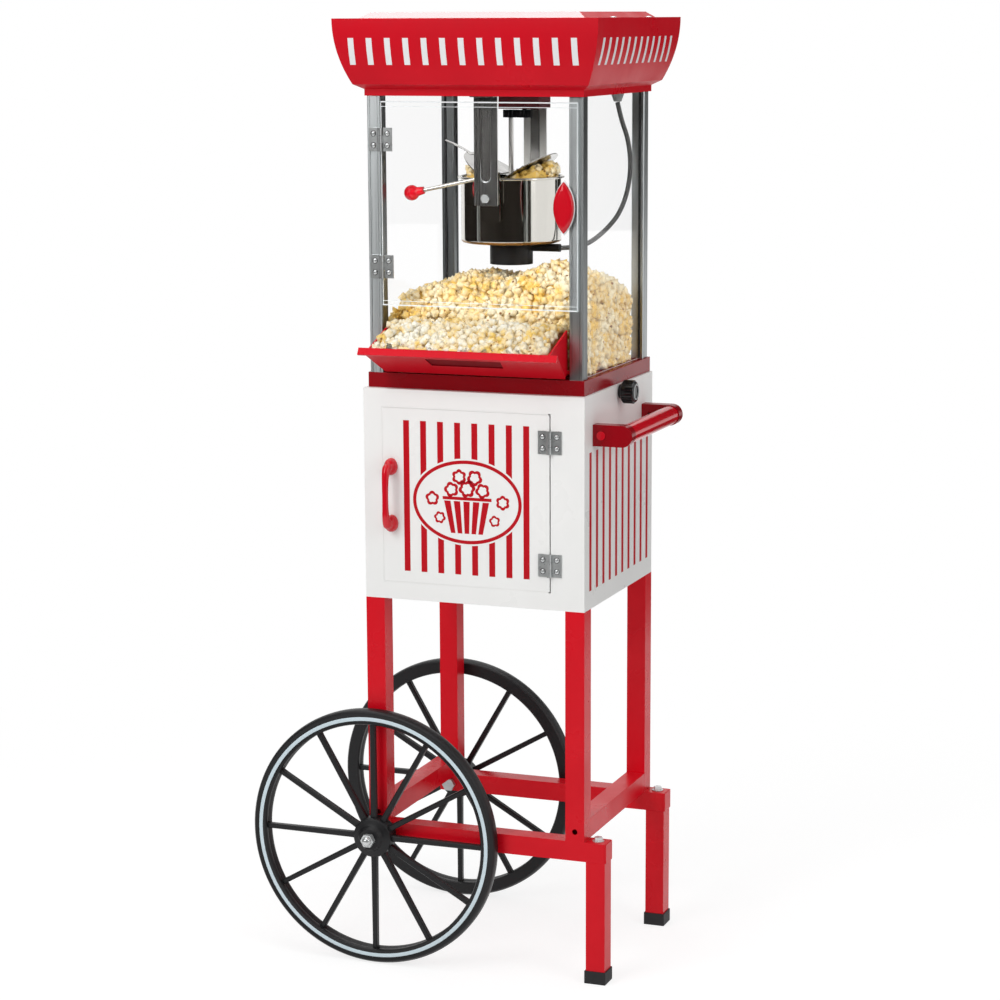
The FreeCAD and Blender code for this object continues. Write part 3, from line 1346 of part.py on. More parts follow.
# Serving tray, hinged between the front posts and shown tipped open
post_room = (posts_x["right"][0] - posts_x["left"][1]) / 2
tray_half = post_room - s.tray_side_gap
face_in = -s.tray_front_out
face_out = face_in - s.tray_wall
foot_half_w = post_room - s.tray_foot_inset
head_half_w = post_room + s.tray_head_lap
tray_face = new_body("tray_face")
pad(tray_face, "XZ_Plane", [(-foot_half_w, s.tray_front_foot), (foot_half_w, s.tray_front_foot),
                            (head_half_w, tray_length), (-head_half_w, tray_length)],
    s.tray_wall, s.tray_front_out)
tray_pieces = [tray_face,
               box("tray_lip_bar", (-head_half_w, head_half_w), (face_out - s.tray_lip, face_in),
                   (tray_length - s.tray_lip_thickness, tray_length)),
               rod("tray_barrel", s.tray_barrel_radius, "x", (-tray_half, tray_half), (zero, zero)),
               rod("tray_pins", s.tray_pin_radius, "x",
                   (-post_room - s.tray_pin_reach, post_room + s.tray_pin_reach), (zero, zero))]
web = new_body("tray_web")
web_half = s.tray_wall / 2
pad(web, "YZ_Plane", [(zero, -web_half), (zero, web_half), (face_in, s.tray_front_foot + s.tray_wall),
                      (face_out, s.tray_front_foot + s.tray_wall), (face_out, s.tray_front_foot)],
    tray_half * 2, -tray_half)
tray_pieces.append(web)
cheek_back = (s.tray_cheek * sine(s.tray_open_angle), s.tray_cheek * cosine(s.tray_open_angle))
for way, start in ((-1, -tray_half), (1, tray_half - s.tray_wall)):
    cheek = new_body("tray_cheek_body")
    pad(cheek, "YZ_Plane", [(zero, -web_half), cheek_back, (face_in, tray_length - s.tray_lip_thickness),
                            (face_in, s.tray_front_foot)], s.tray_wall, start)
    tray_pieces.append(cheek)
recess = new_body("tray_recess")
recess_top = tray_length - s.recess_drop
recess_half = s.recess_width / 2
recess_foot_half = recess_half - s.recess_taper
pad(recess, "XZ_Plane", [(-recess_foot_half, recess_top - s.recess_height),
                         (recess_foot_half, recess_top - s.recess_height),
                         (recess_half, recess_top), (-recess_half, recess_top)],
    s.recess_depth, s.tray_front_out + s.tray_wall - s.recess_depth)
tray_shell = cut("tray_shell", fuse("tray_whole", *tray_pieces), recess)
tray = turn(tray_shell, (1, 0, 0), s.tray_open_angle)
node(put(tray, center_x, tray_pivot_y, tray_pivot_z), "serving_tray")

# Kettle cord: from a socket under the ceiling, hanging clear of the panes, to the cup's arm
socket_x = pane_x["right"][0] - s.socket_side_room
socket_y = pane_rear_y[0] - s.socket_rear_room
socket_low = ceiling - s.socket_length
socket_cone = taper("socket_cone", (s.socket_nose_radius, s.socket_radius), "z", (socket_low, ceiling),
                    (socket_x, socket_y))
node(socket_cone, "cord_socket")

cord_start = FreeCAD.Vector(socket_x.value, socket_y.value, (socket_low - s.cord_gap).value)
cord_end = FreeCAD.Vector((arm_end + s.cord_gap).value, machine_y.value, arm_z.value)
# Bends of the cord, measured from its end at the cup's arm
CORD_BENDS = [(49, 87, 160), (57, 93.5, 134), (60.5, 95, 100), (58, 89, 66), (51, 76, 39), (43, 56, 23),
              (35, 33, 11), (27, 12, 3.5), (14, 2.2, 0.7)]


def rounded_route(points):
    """Straight runs joined by tangent arcs, each arc as large as its shorter run allows."""
    edges = []
    here = points[0]
    radii = []
    for before, corner, after in zip(points, points[1:], points[2:]):
        back = before - corner
        on = after - corner
        shorter = 0.45 * min(back.Length, on.Length)
        half_angle = back.getAngle(on) / 2
        radii.append(shorter * math.tan(half_angle))
        back.normalize()
        on.normalize()
        first = corner + back * shorter
        last = corner + on * shorter
        middle = (back + on).normalize()
        to_center = shorter / math.cos(half_angle)
        top = corner + middle * (to_center - radii[-1])
        edges.append(Part.LineSegment(here, first).toShape())
        edges.append(Part.Arc(first, top, last).toShape())
        here = last
    edges.append(Part.LineSegment(here, points[-1]).toShape())
    return Part.Wire(edges), radii


cord_points = [cord_start] + [cord_end + FreeCAD.Vector(*bend) for bend in CORD_BENDS] + [cord_end]
cord_path, cord_radii = rounded_route(cord_points)
cord_section = Part.Wire(Part.makeCircle(s.cord_diameter.value / 2, cord_start, cord_points[1] - cord_start))
cord = doc.addObject("Part::Feature", "cord_tube")
cord.Shape = cord_path.makePipeShell([cord_section], True, False)
node(cord, "kettle_cord")

# Checks before anything is written
doc.recompute()
for item in doc.Objects:
    if "Invalid" in item.State or "Error" in item.State:
        raise RuntimeError("%s failed: %s" % (item.Label, item.State))
for item in nodes:
    if item.Shape.isNull() or not item.Shape.isValid() or not item.Shape.Solids:
        raise RuntimeError("%s has no valid solid" % item.Label)

cord_volume = math.pi * s.cord_diameter.value ** 2 / 4 * cord_path.Length
print("cord length %.1f, radii %s" % (cord_path.Length, ", ".join("%.1f" % radius for radius in cord_radii)))
print("cord volume %.1f, section times length %.1f" % (cord.Shape.Volume, cord_volume))

os.makedirs("parts", exist_ok=True)
for item in nodes:
    item.Shape.exportStep("parts/%s.step" % item.Label)
print("%d pieces written" % len(nodes))
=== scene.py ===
import json
import math
import random

import bmesh
import bpy
from bpy.props import FloatProperty, FloatVectorProperty, IntProperty, PointerProperty
from mathutils import Euler, Matrix, Vector, noise

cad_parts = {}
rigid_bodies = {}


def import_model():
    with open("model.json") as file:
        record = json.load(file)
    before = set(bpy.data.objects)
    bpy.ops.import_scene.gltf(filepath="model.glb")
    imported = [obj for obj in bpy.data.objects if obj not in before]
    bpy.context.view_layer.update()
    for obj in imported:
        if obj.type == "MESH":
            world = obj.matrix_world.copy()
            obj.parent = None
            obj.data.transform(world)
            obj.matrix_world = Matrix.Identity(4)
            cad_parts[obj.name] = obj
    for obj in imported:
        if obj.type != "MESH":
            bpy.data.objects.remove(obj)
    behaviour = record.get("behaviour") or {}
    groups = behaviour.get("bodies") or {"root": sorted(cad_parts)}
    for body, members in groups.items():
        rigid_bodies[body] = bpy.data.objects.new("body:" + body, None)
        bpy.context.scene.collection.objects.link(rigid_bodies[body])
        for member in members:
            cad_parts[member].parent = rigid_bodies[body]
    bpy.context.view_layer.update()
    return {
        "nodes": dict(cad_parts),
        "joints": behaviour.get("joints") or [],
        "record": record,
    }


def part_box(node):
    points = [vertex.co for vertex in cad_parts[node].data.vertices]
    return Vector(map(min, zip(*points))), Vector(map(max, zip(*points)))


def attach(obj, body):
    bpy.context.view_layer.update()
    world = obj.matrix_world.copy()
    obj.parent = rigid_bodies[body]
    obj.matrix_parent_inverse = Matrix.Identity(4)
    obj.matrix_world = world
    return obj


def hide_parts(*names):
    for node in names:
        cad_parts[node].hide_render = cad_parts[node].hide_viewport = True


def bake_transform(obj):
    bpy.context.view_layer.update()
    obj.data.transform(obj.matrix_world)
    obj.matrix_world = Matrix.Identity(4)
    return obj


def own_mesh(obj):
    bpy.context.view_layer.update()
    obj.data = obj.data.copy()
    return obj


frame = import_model()

bl_info = {
    "name": "Popcorn Cart Looks",
    "version": (1, 0, 0),
    "blender": (4, 5, 0),
    "location": "3D View > Sidebar > Popcorn Cart",
    "description": "Dresses the packed popcorn cart with its finishes, trim, popcorn and studio",
    "category": "Object",
}

SLOT_OF = {subpart["node"]: subpart["material_slot"] for subpart in frame["record"]["subparts"]}
BODY_OF = {node: name for name, nodes in frame["record"]["behaviour"]["bodies"].items() for node in nodes}
MM = 0.001
POST_SIDE = 18 * MM
KETTLE_DEPTH = 83.0 * MM
TRAY_OPEN_ANGLE = math.radians(60.0)


# Settings

def colour(name, description, default):
    return FloatVectorProperty(name=name, description=description, default=default, size=3,
                               subtype="COLOR", min=0.0, max=1.0)


def length(name, description, default):
    return FloatProperty(name=name, description=description, default=default, unit="LENGTH", subtype="DISTANCE",
                         precision=5)


def count(name, description, default):
    return IntProperty(name=name, description=description, default=default, min=1)


def power(name, description, default):
    return FloatProperty(name=name, description=description, default=default, unit="POWER")


class CartColours(bpy.types.PropertyGroup):
    """Colours of the cart's finishes, in linear light"""
    red_paint: colour("Red paint", "Powder coat of the tube frame", (0.72, 0.0035, 0.014))
    red_moulding: colour("Red moulding", "Canopy, base, tray and handles", (0.66, 0.0035, 0.015))
    dark_red: colour("Dark red", "Cover of the agitator motor", (0.09, 0.004, 0.008))
    white_enamel: colour("White enamel", "Cabinet and door", (0.90, 0.90, 0.885))
    stripe_white: colour("White stripe", "Stripes on the canopy", (0.86, 0.86, 0.87))
    wheel_black: colour("Wheel black", "Wheels and black mouldings", (0.010, 0.010, 0.011))
    wheel_ring: colour("Wheel ring", "Pale ring painted on each wheel", (0.66, 0.78, 0.84))
    rubber: colour("Rubber", "Foot caps", (0.008, 0.008, 0.009))
    zinc: colour("Zinc", "Hinges, nuts and screws", (0.62, 0.64, 0.64))
    aluminium: colour("Aluminium", "Corner posts", (0.46, 0.485, 0.49))
    steel: colour("Steel", "Kettle and its hangers", (0.60, 0.59, 0.57))
    # Colour of the golden ring at the kettle's bottom.
    heat_tint: colour("Heat tint", "Browned ring at the kettle's bottom", (0.52, 0.30, 0.12))
    acrylic: colour("Acrylic", "Clear panes", (1.0, 1.0, 1.0))
    # Whitish tint of the panes' edges and of thin bands on the window door and its grip: painted highlight.
    acrylic_edge: colour("Acrylic edge", "Polished edges of the panes", (0.90, 0.94, 0.95))
    cord: colour("Cord", "Jacket of the kettle's cord", (0.085, 0.085, 0.085))
    puff_pale: colour("Pale puff", "Fluffy parts of the popcorn", (0.97, 0.94, 0.82))
    puff_butter: colour("Buttered puff", "Yellow parts of the popcorn", (0.88, 0.62, 0.16))
    puff_hull: colour("Hull", "Brown hulls in the popcorn", (0.30, 0.13, 0.03))


class CartTrim(bpy.types.PropertyGroup):
    """Sizes of the trim that only the looks have"""
    tube_edge: length("Tube edge", "Rounding of the square tubes' corners", 2.2 * MM)
    sheet_edge: length("Sheet edge", "Rounding of folded sheet edges", 0.7 * MM)
    moulded_edge: length("Moulded edge", "Rounding of moulded edges", 1.4 * MM)
    small_edge: length("Small edge", "Rounding of small hardware", 0.35 * MM)
    film: length("Film", "Thickness of painted stripes and printed ovals", 0.12 * MM)
    door_stripes: count("Door stripes", "Stripes on the door", 8)
    door_stripe_first: length("First door stripe", "From the cabinet's middle to the first stripe", -89.9 * MM)
    door_stripe_pitch: length("Door stripe pitch", "Distance between the door's stripes", 23.05 * MM)
    door_stripe_width: length("Door stripe width", "Width of a stripe on the cabinet", 8.0 * MM)
    door_stripe_low: length("Door stripe foot", "Height of the stripes' lower ends", 522.0 * MM)
    door_stripe_high: length("Door stripe head", "Height of the stripes' upper ends", 715.5 * MM)
    side_stripes: count("Side stripes", "Stripes on each side of the cabinet", 10)
    side_stripe_pitch: length("Side stripe pitch", "Distance between the side stripes", 25.3 * MM)
    side_stripe_low: length("Side stripe foot", "Height of the side stripes' lower ends", 508.0 * MM)
    side_stripe_high: length("Side stripe head", "Height of the side stripes' upper ends", 683.0 * MM)
    oval_width: length("Oval width", "Width of the white oval on the door", 151.0 * MM)
    oval_height: length("Oval height", "Height of the white oval on the door", 111.0 * MM)
    oval_left: length("Oval place", "From the cabinet's middle to the oval's middle", -8.0 * MM)
    oval_up: length("Oval level", "Height of the oval's middle", 615.0 * MM)
    canopy_stripes_front: count("Front canopy stripes", "Stripes on the canopy's front and back", 13)
    canopy_stripes_side: count("Side canopy stripes", "Stripes on each end of the canopy", 12)
    canopy_stripe_pitch: length("Canopy stripe pitch", "Distance between the canopy's stripes", 24.2 * MM)
    canopy_stripe_width: length("Canopy stripe width", "Width of a stripe on the canopy", 7.6 * MM)
    canopy_stripe_low: length("Canopy stripe foot", "Height of the stripes' lower ends", 1156.0 * MM)
    canopy_stripe_high: length("Canopy stripe head", "Height of the stripes' upper ends", 1188.5 * MM)
    spokes: count("Spokes", "Spokes in each wheel", 12)
    knob_ribs: count("Knob ribs", "Ribs round the clamp knob", 24)


class CartPopcorn(bpy.types.PropertyGroup):
    """Popcorn in the chamber, the tray and the kettle"""
    puff: length("Puff", "Size of a popped kernel", 25.0 * MM)
    spacing: length("Spacing", "Least distance between neighbouring puffs", 9.5 * MM)
    seed: count("Seed", "Seed of the puffs' places and turns", 7)


class CartStudio(bpy.types.PropertyGroup):
    """Light of the studio"""
    key: power("Key", "Power of the large lamp in front", 62.0)
    fill: power("Fill", "Power of the lamp at the right", 20.0)
    tray: power("Tray", "Power of the spot on the tray", 60.0)
    top: power("Top", "Power of the lamp overhead", 26.0)
    sky: FloatProperty(name="Sky", description="Strength of the light from all round", default=0.42)


def colours():
    return bpy.context.scene.cart_colours


def trim():
    return bpy.context.scene.cart_trim


# Nodes

def socket_of(node, name):
    return next(item for item in node.inputs if item.name == name and item.enabled)


def result_of(node):
    return next(item for item in node.outputs if item.enabled)


def fill(tree, socket, value):
    """Give an input a value, or a link where the value is a socket."""
    if isinstance(value, bpy.types.NodeSocket):
        tree.links.new(value, socket)
    else:
        socket.default_value = value


def add_node(tree, kind, settings=(), **values):
    """Add a node, set its own settings and then fill its inputs by name."""
    node = tree.nodes.new(kind)
    for key, value in dict(settings).items():
        setattr(node, key, value)
    for key, value in values.items():
        fill(tree, socket_of(node, key.replace("_", " ")), value)
    return node


def add_math(tree, kind, settings, *values):
    """Add a node and fill its inputs in their order."""
    node = add_node(tree, kind, settings)
    for socket, value in zip(node.inputs, values):
        fill(tree, socket, value)
    return result_of(node)


def combined(tree, operation, first, second, clamp=False):
    """Result of an operation on two values."""
    return add_math(tree, "ShaderNodeMath", {"operation": operation, "use_clamp": clamp}, first, second)


def ranged(tree, value, low, high, new_low=0.0, new_high=1.0, **settings):
    """Bring a value from one pair of limits to another."""
    return add_node(tree, "ShaderNodeMapRange", settings, Value=value, From_Min=low, From_Max=high,
                    To_Min=new_low, To_Max=new_high).outputs["Result"]


def spot_in_object(tree):
    return tree.nodes.new("ShaderNodeTexCoord").outputs["Object"]


def once(name):
    """Build a node group when it is first asked for, and find it by its name after that."""
    def wrap(build):
        return lambda: bpy.data.node_groups.get(name) or build(name)
    return wrap


def new_group(name, kind, inputs, outputs):
    """Group with (name, kind, default) inputs and (name, kind) outputs, what it is given, and its end."""
    tree = bpy.data.node_groups.new(name, kind)
    for label, socket_kind, default in inputs:
        socket = tree.interface.new_socket(label, in_out="INPUT", socket_type="NodeSocket" + socket_kind)
        if default is not None:
            socket.default_value = default
    for label, socket_kind in outputs:
        tree.interface.new_socket(label, in_out="OUTPUT", socket_type="NodeSocket" + socket_kind)
    return tree, tree.nodes.new("NodeGroupInput").outputs, tree.nodes.new("NodeGroupOutput").inputs


# Shader groups and materials

@once("Surface Detail")
def surface_detail(name):
    """Fine grain, broad smudges and sparse specks over Object coordinates."""
    tree, given, end = new_group(
        name, "ShaderNodeTree",
        [("Grain Scale", "Float", 900.0), ("Smudge Scale", "Float", 12.0), ("Speck Scale", "Float", 160.0),
         ("Speck Size", "Float", 0.16)],
        [("Grain", "Float"), ("Smudge", "Float"), ("Specks", "Float")])
    place = spot_in_object(tree)
    for label, detail, roughness in (("Grain", 2.0, 0.6), ("Smudge", 4.0, 0.55)):
        node = add_node(tree, "ShaderNodeTexNoise", Vector=place, Scale=given[label + " Scale"], Detail=detail,
                        Roughness=roughness)
        fill(tree, end[label], node.outputs["Fac"])
    cells = add_node(tree, "ShaderNodeTexVoronoi", Vector=place, Scale=given["Speck Scale"], Randomness=1.0)
    fill(tree, end["Specks"], ranged(tree, cells.outputs["Distance"], 0.0, given["Speck Size"], 1.0, 0.0))
    return tree


@once("Brushed Lines")
def brushed_lines(name):
    """Long fine streaks along one direction, over Object coordinates."""
    tree, given, end = new_group(name, "ShaderNodeTree", [("Stretch", "Vector", (900.0, 900.0, 9.0))],
                                 [("Streak", "Float"), ("Broad", "Float")])
    place = add_math(tree, "ShaderNodeVectorMath", {"operation": "MULTIPLY"}, spot_in_object(tree), given["Stretch"])
    for label, scale, detail in (("Streak", 1.0, 3.0), ("Broad", 0.11, 2.0)):
        node = add_node(tree, "ShaderNodeTexNoise", Vector=place, Scale=scale, Detail=detail)
        fill(tree, end[label], node.outputs["Fac"])
    return tree


def start_material(name):
    if name in bpy.data.materials:
        raise ValueError(name + " is taken")
    material = bpy.data.materials.new(name)
    material.use_nodes = True
    return material.node_tree, material.node_tree.nodes["Principled BSDF"]


def set_shader(tree, shader, **values):
    """Fill the shader's inputs by name."""
    for key, value in values.items():
        fill(tree, shader.inputs[key.replace("_", " ")], value)


def place_group(tree, group, **values):
    """Outputs of a group placed in a tree, with its inputs set by name."""
    node = tree.nodes.new("ShaderNodeGroup")
    node.node_tree = group
    set_shader(tree, node, **values)
    return node.outputs


def spread(tree, value, low, high):
    """Bring a mask between 0.3 and 0.7 to the given limits."""
    return ranged(tree, value, 0.3, 0.7, low, high)


def opaque(tint):
    return tint if isinstance(tint, bpy.types.NodeSocket) else (*tint, 1.0)


def tinted(tree, mask, first, second, blend="MIX"):
    """Colour between two tints by a mask."""
    return result_of(add_node(tree, "ShaderNodeMix", {"data_type": "RGBA", "blend_type": blend}, Factor=mask,
                              A=opaque(first), B=opaque(second)))


def mottled(tree, scale, first, second):
    """Two tints in broad smudges."""
    smudge = place_group(tree, surface_detail(), Smudge_Scale=scale)["Smudge"]
    return tinted(tree, spread(tree, smudge, 0.0, 1.0), first, second)


def relief(tree, shader, height, distance):
    bump = add_node(tree, "ShaderNodeBump", Strength=1.0, Distance=distance, Height=height)
    fill(tree, shader.inputs["Normal"], bump.outputs["Normal"])


def mixed_shader(tree, mask, first, second):
    return add_math(tree, "ShaderNodeMixShader", (), mask, first, second)


def show(tree, surface):
    fill(tree, tree.nodes["Material Output"].inputs["Surface"], surface)


def shade(tint, amount):
    return tuple(channel * amount for channel in tint)


def uneven(tree, shader, patches, streaks, tint, tone, roughness, swing):
    """Tint and gloss that vary with two masks."""
    set_shader(tree, shader, Roughness=spread(tree, streaks, roughness - swing, roughness + swing),
               Base_Color=tinted(tree, spread(tree, patches, 0.0, 1.0), tint, shade(tint, tone)))


def coated(name, tint, roughness, grain_scale, grain_depth, tone=0.9, swing=0.08, **values):
    """Paint, moulding or rubber: grained, faintly mottled and unevenly glossy."""
    tree, shader = start_material(name)
    detail = place_group(tree, surface_detail(), Grain_Scale=grain_scale)
    uneven(tree, shader, detail["Smudge"], detail["Smudge"], tint, tone, roughness, swing)
    relief(tree, shader, detail["Grain"], grain_depth)
    set_shader(tree, shader, **values)


def metal(name, tint, roughness, stretch, depth, tone=0.82, swing=0.07, metallic=1.0):
    """Brushed or drawn metal with fine streaks."""
    tree, shader = start_material(name)
    lines = place_group(tree, brushed_lines(), Stretch=stretch)
    uneven(tree, shader, lines["Broad"], lines["Streak"], tint, tone, roughness, swing)
    relief(tree, shader, lines["Streak"], depth)
    set_shader(tree, shader, Metallic=metallic)


def acrylic_sheet(name, tint, roughness, transmission):
    """Clear sheet that lets the lamps through."""
    tree, shader = start_material(name)
    detail = place_group(tree, surface_detail(), Smudge_Scale=7.0)
    set_shader(tree, shader, Roughness=spread(tree, detail["Smudge"], roughness, roughness + 0.03),
               Base_Color=opaque(tint), IOR=1.1, Transmission_Weight=transmission)
    through = add_node(tree, "ShaderNodeBsdfTransparent", Color=opaque(shade(tint, 0.97)))
    rays = tree.nodes.new("ShaderNodeLightPath").outputs
    show(tree, mixed_shader(tree, rays["Is Shadow Ray"], shader.outputs["BSDF"], through.outputs["BSDF"]))


def puff_material(name, pale, butter, hull):
    """Popped corn: each puff's own tone, buttered patches and brown hull specks, with painted shade in a tan behind
    the window door and towards the right.
    """
    tree, shader = start_material(name)
    own, lobe = (add_node(tree, "ShaderNodeAttribute", {"attribute_name": label}).outputs["Fac"]
                 for label in ("puff_tone", "puff_lobe"))
    detail = place_group(tree, surface_detail(), Grain_Scale=420.0, Smudge_Scale=95.0, Speck_Scale=80.0,
                         Speck_Size=0.17)
    region = place_group(tree, surface_detail(), Smudge_Scale=16.0)
    axes = add_node(tree, "ShaderNodeSeparateXYZ", Vector=spot_in_object(tree)).outputs
    patch = combined(tree, "MULTIPLY", spread(tree, detail["Smudge"], -0.15, 1.15), own)
    ahead = ranged(tree, axes["Y"], -0.12, -0.09, -0.08, 0.0)
    local = combined(tree, "ADD", spread(tree, region["Smudge"], -0.4, 0.62), ahead)
    # More butter towards each puff's heart: partly the kernel's yellow core, partly painted shade in the creases
    # between its lobes.
    heart = ranged(tree, lobe, 0.15, 0.85, 0.85, 0.0)
    buttered = combined(tree, "ADD", combined(tree, "ADD", patch, local), heart, clamp=True)
    # Puffs behind the window door and towards the right are multiplied by a tan: painted shade.
    beside = ranged(tree, axes["X"], 0.13, 0.18)
    inside = ranged(tree, axes["Y"], -0.115, -0.095, 0.0, 0.85)
    flesh = tinted(tree, combined(tree, "MAXIMUM", beside, inside), tinted(tree, buttered, pale, butter),
                   (0.84, 0.76, 0.60), "MULTIPLY")
    hulls = combined(tree, "MULTIPLY", detail["Specks"], 2.2, clamp=True)
    set_shader(tree, shader, Base_Color=tinted(tree, hulls, flesh, hull),
               Roughness=spread(tree, detail["Smudge"], 0.75, 0.5))
    relief(tree, shader, detail["Grain"], 1.2 * MM)


def build_materials():
    """Every finish of the cart, by its own name."""
    tint = colours()
    upright = (700.0, 700.0, 7.0)
    across = (7.0, 700.0, 700.0)
    coated("red_paint", tint.red_paint, 0.30, 850.0, 0.05 * MM, Specular_IOR_Level=0.2)
    coated("red_moulding", tint.red_moulding, 0.34, 620.0, 0.10 * MM, Specular_IOR_Level=0.16)
    coated("red_gloss", tint.red_moulding, 0.16, 300.0, 0.02 * MM, swing=0.04, Specular_IOR_Level=0.5)
    coated("red_sheen", tint.red_moulding, 0.12, 300.0, 0.01 * MM, swing=0.03, Specular_IOR_Level=1.0,
           Coat_Weight=1.0)
    # Darker copy of the red moulding for the base and the handle brackets: painted shade.
    coated("deep_red", shade(tint.red_moulding, 0.46), 0.24, 620.0, 0.05 * MM, Specular_IOR_Level=0.22)
    coated("dark_red", tint.dark_red, 0.4, 620.0, 0.06 * MM)
    # Darker copy of the red moulding for the grip recess: painted shade.
    coated("recess_red", shade(tint.red_moulding, 0.34), 0.5, 620.0, 0.06 * MM, Specular_IOR_Level=0.15)
    coated("white_enamel", tint.white_enamel, 0.32, 700.0, 0.03 * MM, tone=0.97, Specular_IOR_Level=0.3)
    coated("stripe_red", shade(tint.red_paint, 0.74), 0.34, 700.0, 0.03 * MM, tone=0.93, Specular_IOR_Level=0.2)
    coated("stripe_white", tint.stripe_white, 0.4, 620.0, 0.06 * MM, tone=0.96)
    coated("wheel_black", tint.wheel_black, 0.42, 520.0, 0.12 * MM, tone=1.35, Specular_IOR_Level=0.3)
    coated("black_moulding", tint.wheel_black, 0.5, 700.0, 0.14 * MM, tone=1.3, Specular_IOR_Level=0.3)
    coated("black_gloss", tint.wheel_black, 0.16, 500.0, 0.03 * MM, tone=1.3, swing=0.05)
    coated("wheel_ring", tint.wheel_ring, 0.4, 520.0, 0.05 * MM, tone=0.94)
    coated("rubber", tint.rubber, 0.7, 900.0, 0.12 * MM, tone=1.5)
    coated("cord_jacket", tint.cord, 0.5, 900.0, 0.05 * MM, Specular_IOR_Level=0.2)
    coated("motor_case", shade(tint.zinc, 0.4), 0.45, 600.0, 0.08 * MM)
    metal("zinc_plate", tint.zinc, 0.34, (420.0, 420.0, 420.0), 0.03 * MM, tone=0.8, metallic=0.8)
    metal("bright_nut", shade(tint.zinc, 1.15), 0.2, (300.0, 300.0, 300.0), 0.01 * MM, metallic=0.6)
    # Copies of the aluminium: drawn is its own tone, the lighter copy is painted light and the darker copy is painted
    # shade.
    for name, amount, roughness in (("drawn", 1.08, 0.38), ("bright", 1.95, 0.4), ("dull", 0.5, 0.34)):
        metal(name + "_aluminium", shade(tint.aluminium, amount), roughness, upright, 0.04 * MM, tone=0.88)
    metal("polished_steel", (0.76, 0.74, 0.69), 0.07, upright, 0.004 * MM, tone=0.9, swing=0.03)
    # Copies of the steel: satin is its own tone; the groove copy is painted shade on the hinge pins, the hanger copy
    # is painted dark reflection on the hangers' outer faces, and the slot copy is painted light in the hangers'
    # slots.
    for name, amount, roughness in (("satin", 1.1, 0.36), ("groove", 0.34, 0.2), ("hanger", 0.3, 0.3),
                                    ("slot", 0.78, 0.2)):
        metal(name + "_steel", shade(tint.steel, amount), roughness, upright, 0.012 * MM, tone=0.9, swing=0.04)
    metal("lid_steel", tint.steel, 0.14, across, 0.01 * MM, swing=0.04)
    metal("heat_tint", tint.heat_tint, 0.3, (60.0, 60.0, 60.0), 0.05 * MM, tone=0.55)
    acrylic_sheet("clear_acrylic", tint.acrylic, 0.01, 1.0)
    acrylic_sheet("acrylic_edge", tint.acrylic_edge, 0.2, 0.1)
    puff_material("puff", tint.puff_pale, tint.puff_butter, tint.puff_hull)


def finish_named(name):
    return bpy.data.materials[name]


# Mesh tools

def smooth_below(mesh, degrees):
    mesh.shade_smooth()
    mesh.set_sharp_from_angle(angle=math.radians(degrees))


def object_of(name, mesh):
    item = bpy.data.objects.new(name, mesh)
    bpy.context.scene.collection.objects.link(item)
    return item


def drop(item):
    """Take away an object and its mesh."""
    mesh = item.data
    bpy.data.objects.remove(item)
    bpy.data.meshes.remove(mesh)


def middle_of(node):
    low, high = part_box(node)
    return (low + high) / 2


def joint_place(name):
    return Vector(next(joint for joint in frame["joints"] if joint["name"] == name)["pos_m"])


def in_mm(points):
    return [tuple(value * MM for value in point) for point in points]


def round_angles(steps):
    return [2 * math.pi * step / steps for step in range(steps)]


def steps_between(low, high, number):
    return [low + (high - low) * step / (number - 1) for step in range(number)]


def piece_of(name, work, *finishes, smooth=35.0):
    """Turn a bmesh into an object at the origin with its finishes."""
    bmesh.ops.remove_doubles(work, verts=work.verts, dist=1e-7)
    mesh = bpy.data.meshes.new(name)
    work.to_mesh(mesh)
    work.free()
    for finish in finishes:
        mesh.materials.append(finish_named(finish))
    smooth_below(mesh, smooth)
    return object_of(name, mesh)


def baked(item):
    """Put an object's modifiers into its mesh and take them off."""
    graph = bpy.context.evaluated_depsgraph_get()
    mesh = bpy.data.meshes.new_from_object(item.evaluated_get(graph), preserve_all_data_layers=True,
                                           depsgraph=graph)
    item.modifiers.clear()
    old = item.data
    item.data = mesh
    bpy.data.meshes.remove(old)
    mesh.name = item.name
    return item


def settle(item, body, nodes=(), slot=None):
    """Let a finished piece ride on its body and stand for its nodes. Its slot is not used."""
    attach(item, body)
    if nodes:
        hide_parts(*nodes)
    return item


def merged_copy(node):
    """Bmesh copy of a node, with its triangles joined and its flat faces made whole."""
    work = bmesh.new()
    work.from_mesh(frame["nodes"][node].data)
    bmesh.ops.remove_doubles(work, verts=work.verts, dist=2e-6)
    bmesh.ops.dissolve_limit(work, angle_limit=math.radians(0.4), verts=work.verts, edges=work.edges)
    return work


def rounded(item, width, segments=2, angle=38.0, even=True):
    bevel = item.modifiers.new("edges", "BEVEL")
    bevel.width = width
    bevel.segments = segments
    bevel.limit_method = "ANGLE"
    bevel.angle_limit = math.radians(angle)
    baked(item)
    smooth_below(item.data, 40.0)
    if not even:
        return item
    weights = item.modifiers.new("even", "WEIGHTED_NORMAL")
    weights.keep_sharp = True
    return baked(item)


def softened(node, finish, width, segments=2, angle=38.0, slot=None):
    """Copy of a node with rounded edges, in its place."""
    item = rounded(piece_of(node + "_looks", merged_copy(node), finish), width, segments, angle)
    return settle(item, BODY_OF[node], [node], slot or SLOT_OF[node])


def finish_node(node, finish):
    """Give a node that keeps its own mesh its finish."""
    mesh = frame["nodes"][node].data
    mesh.materials.clear()
    mesh.materials.append(finish_named(finish))


def block(work, low, high):
    """Add a box from its lowest to its highest corner."""
    low, high = Vector(low), Vector(high)
    size = Matrix.Diagonal((*(high - low), 1.0))
    return bmesh.ops.create_cube(work, size=1.0, matrix=Matrix.Translation((low + high) / 2) @ size)


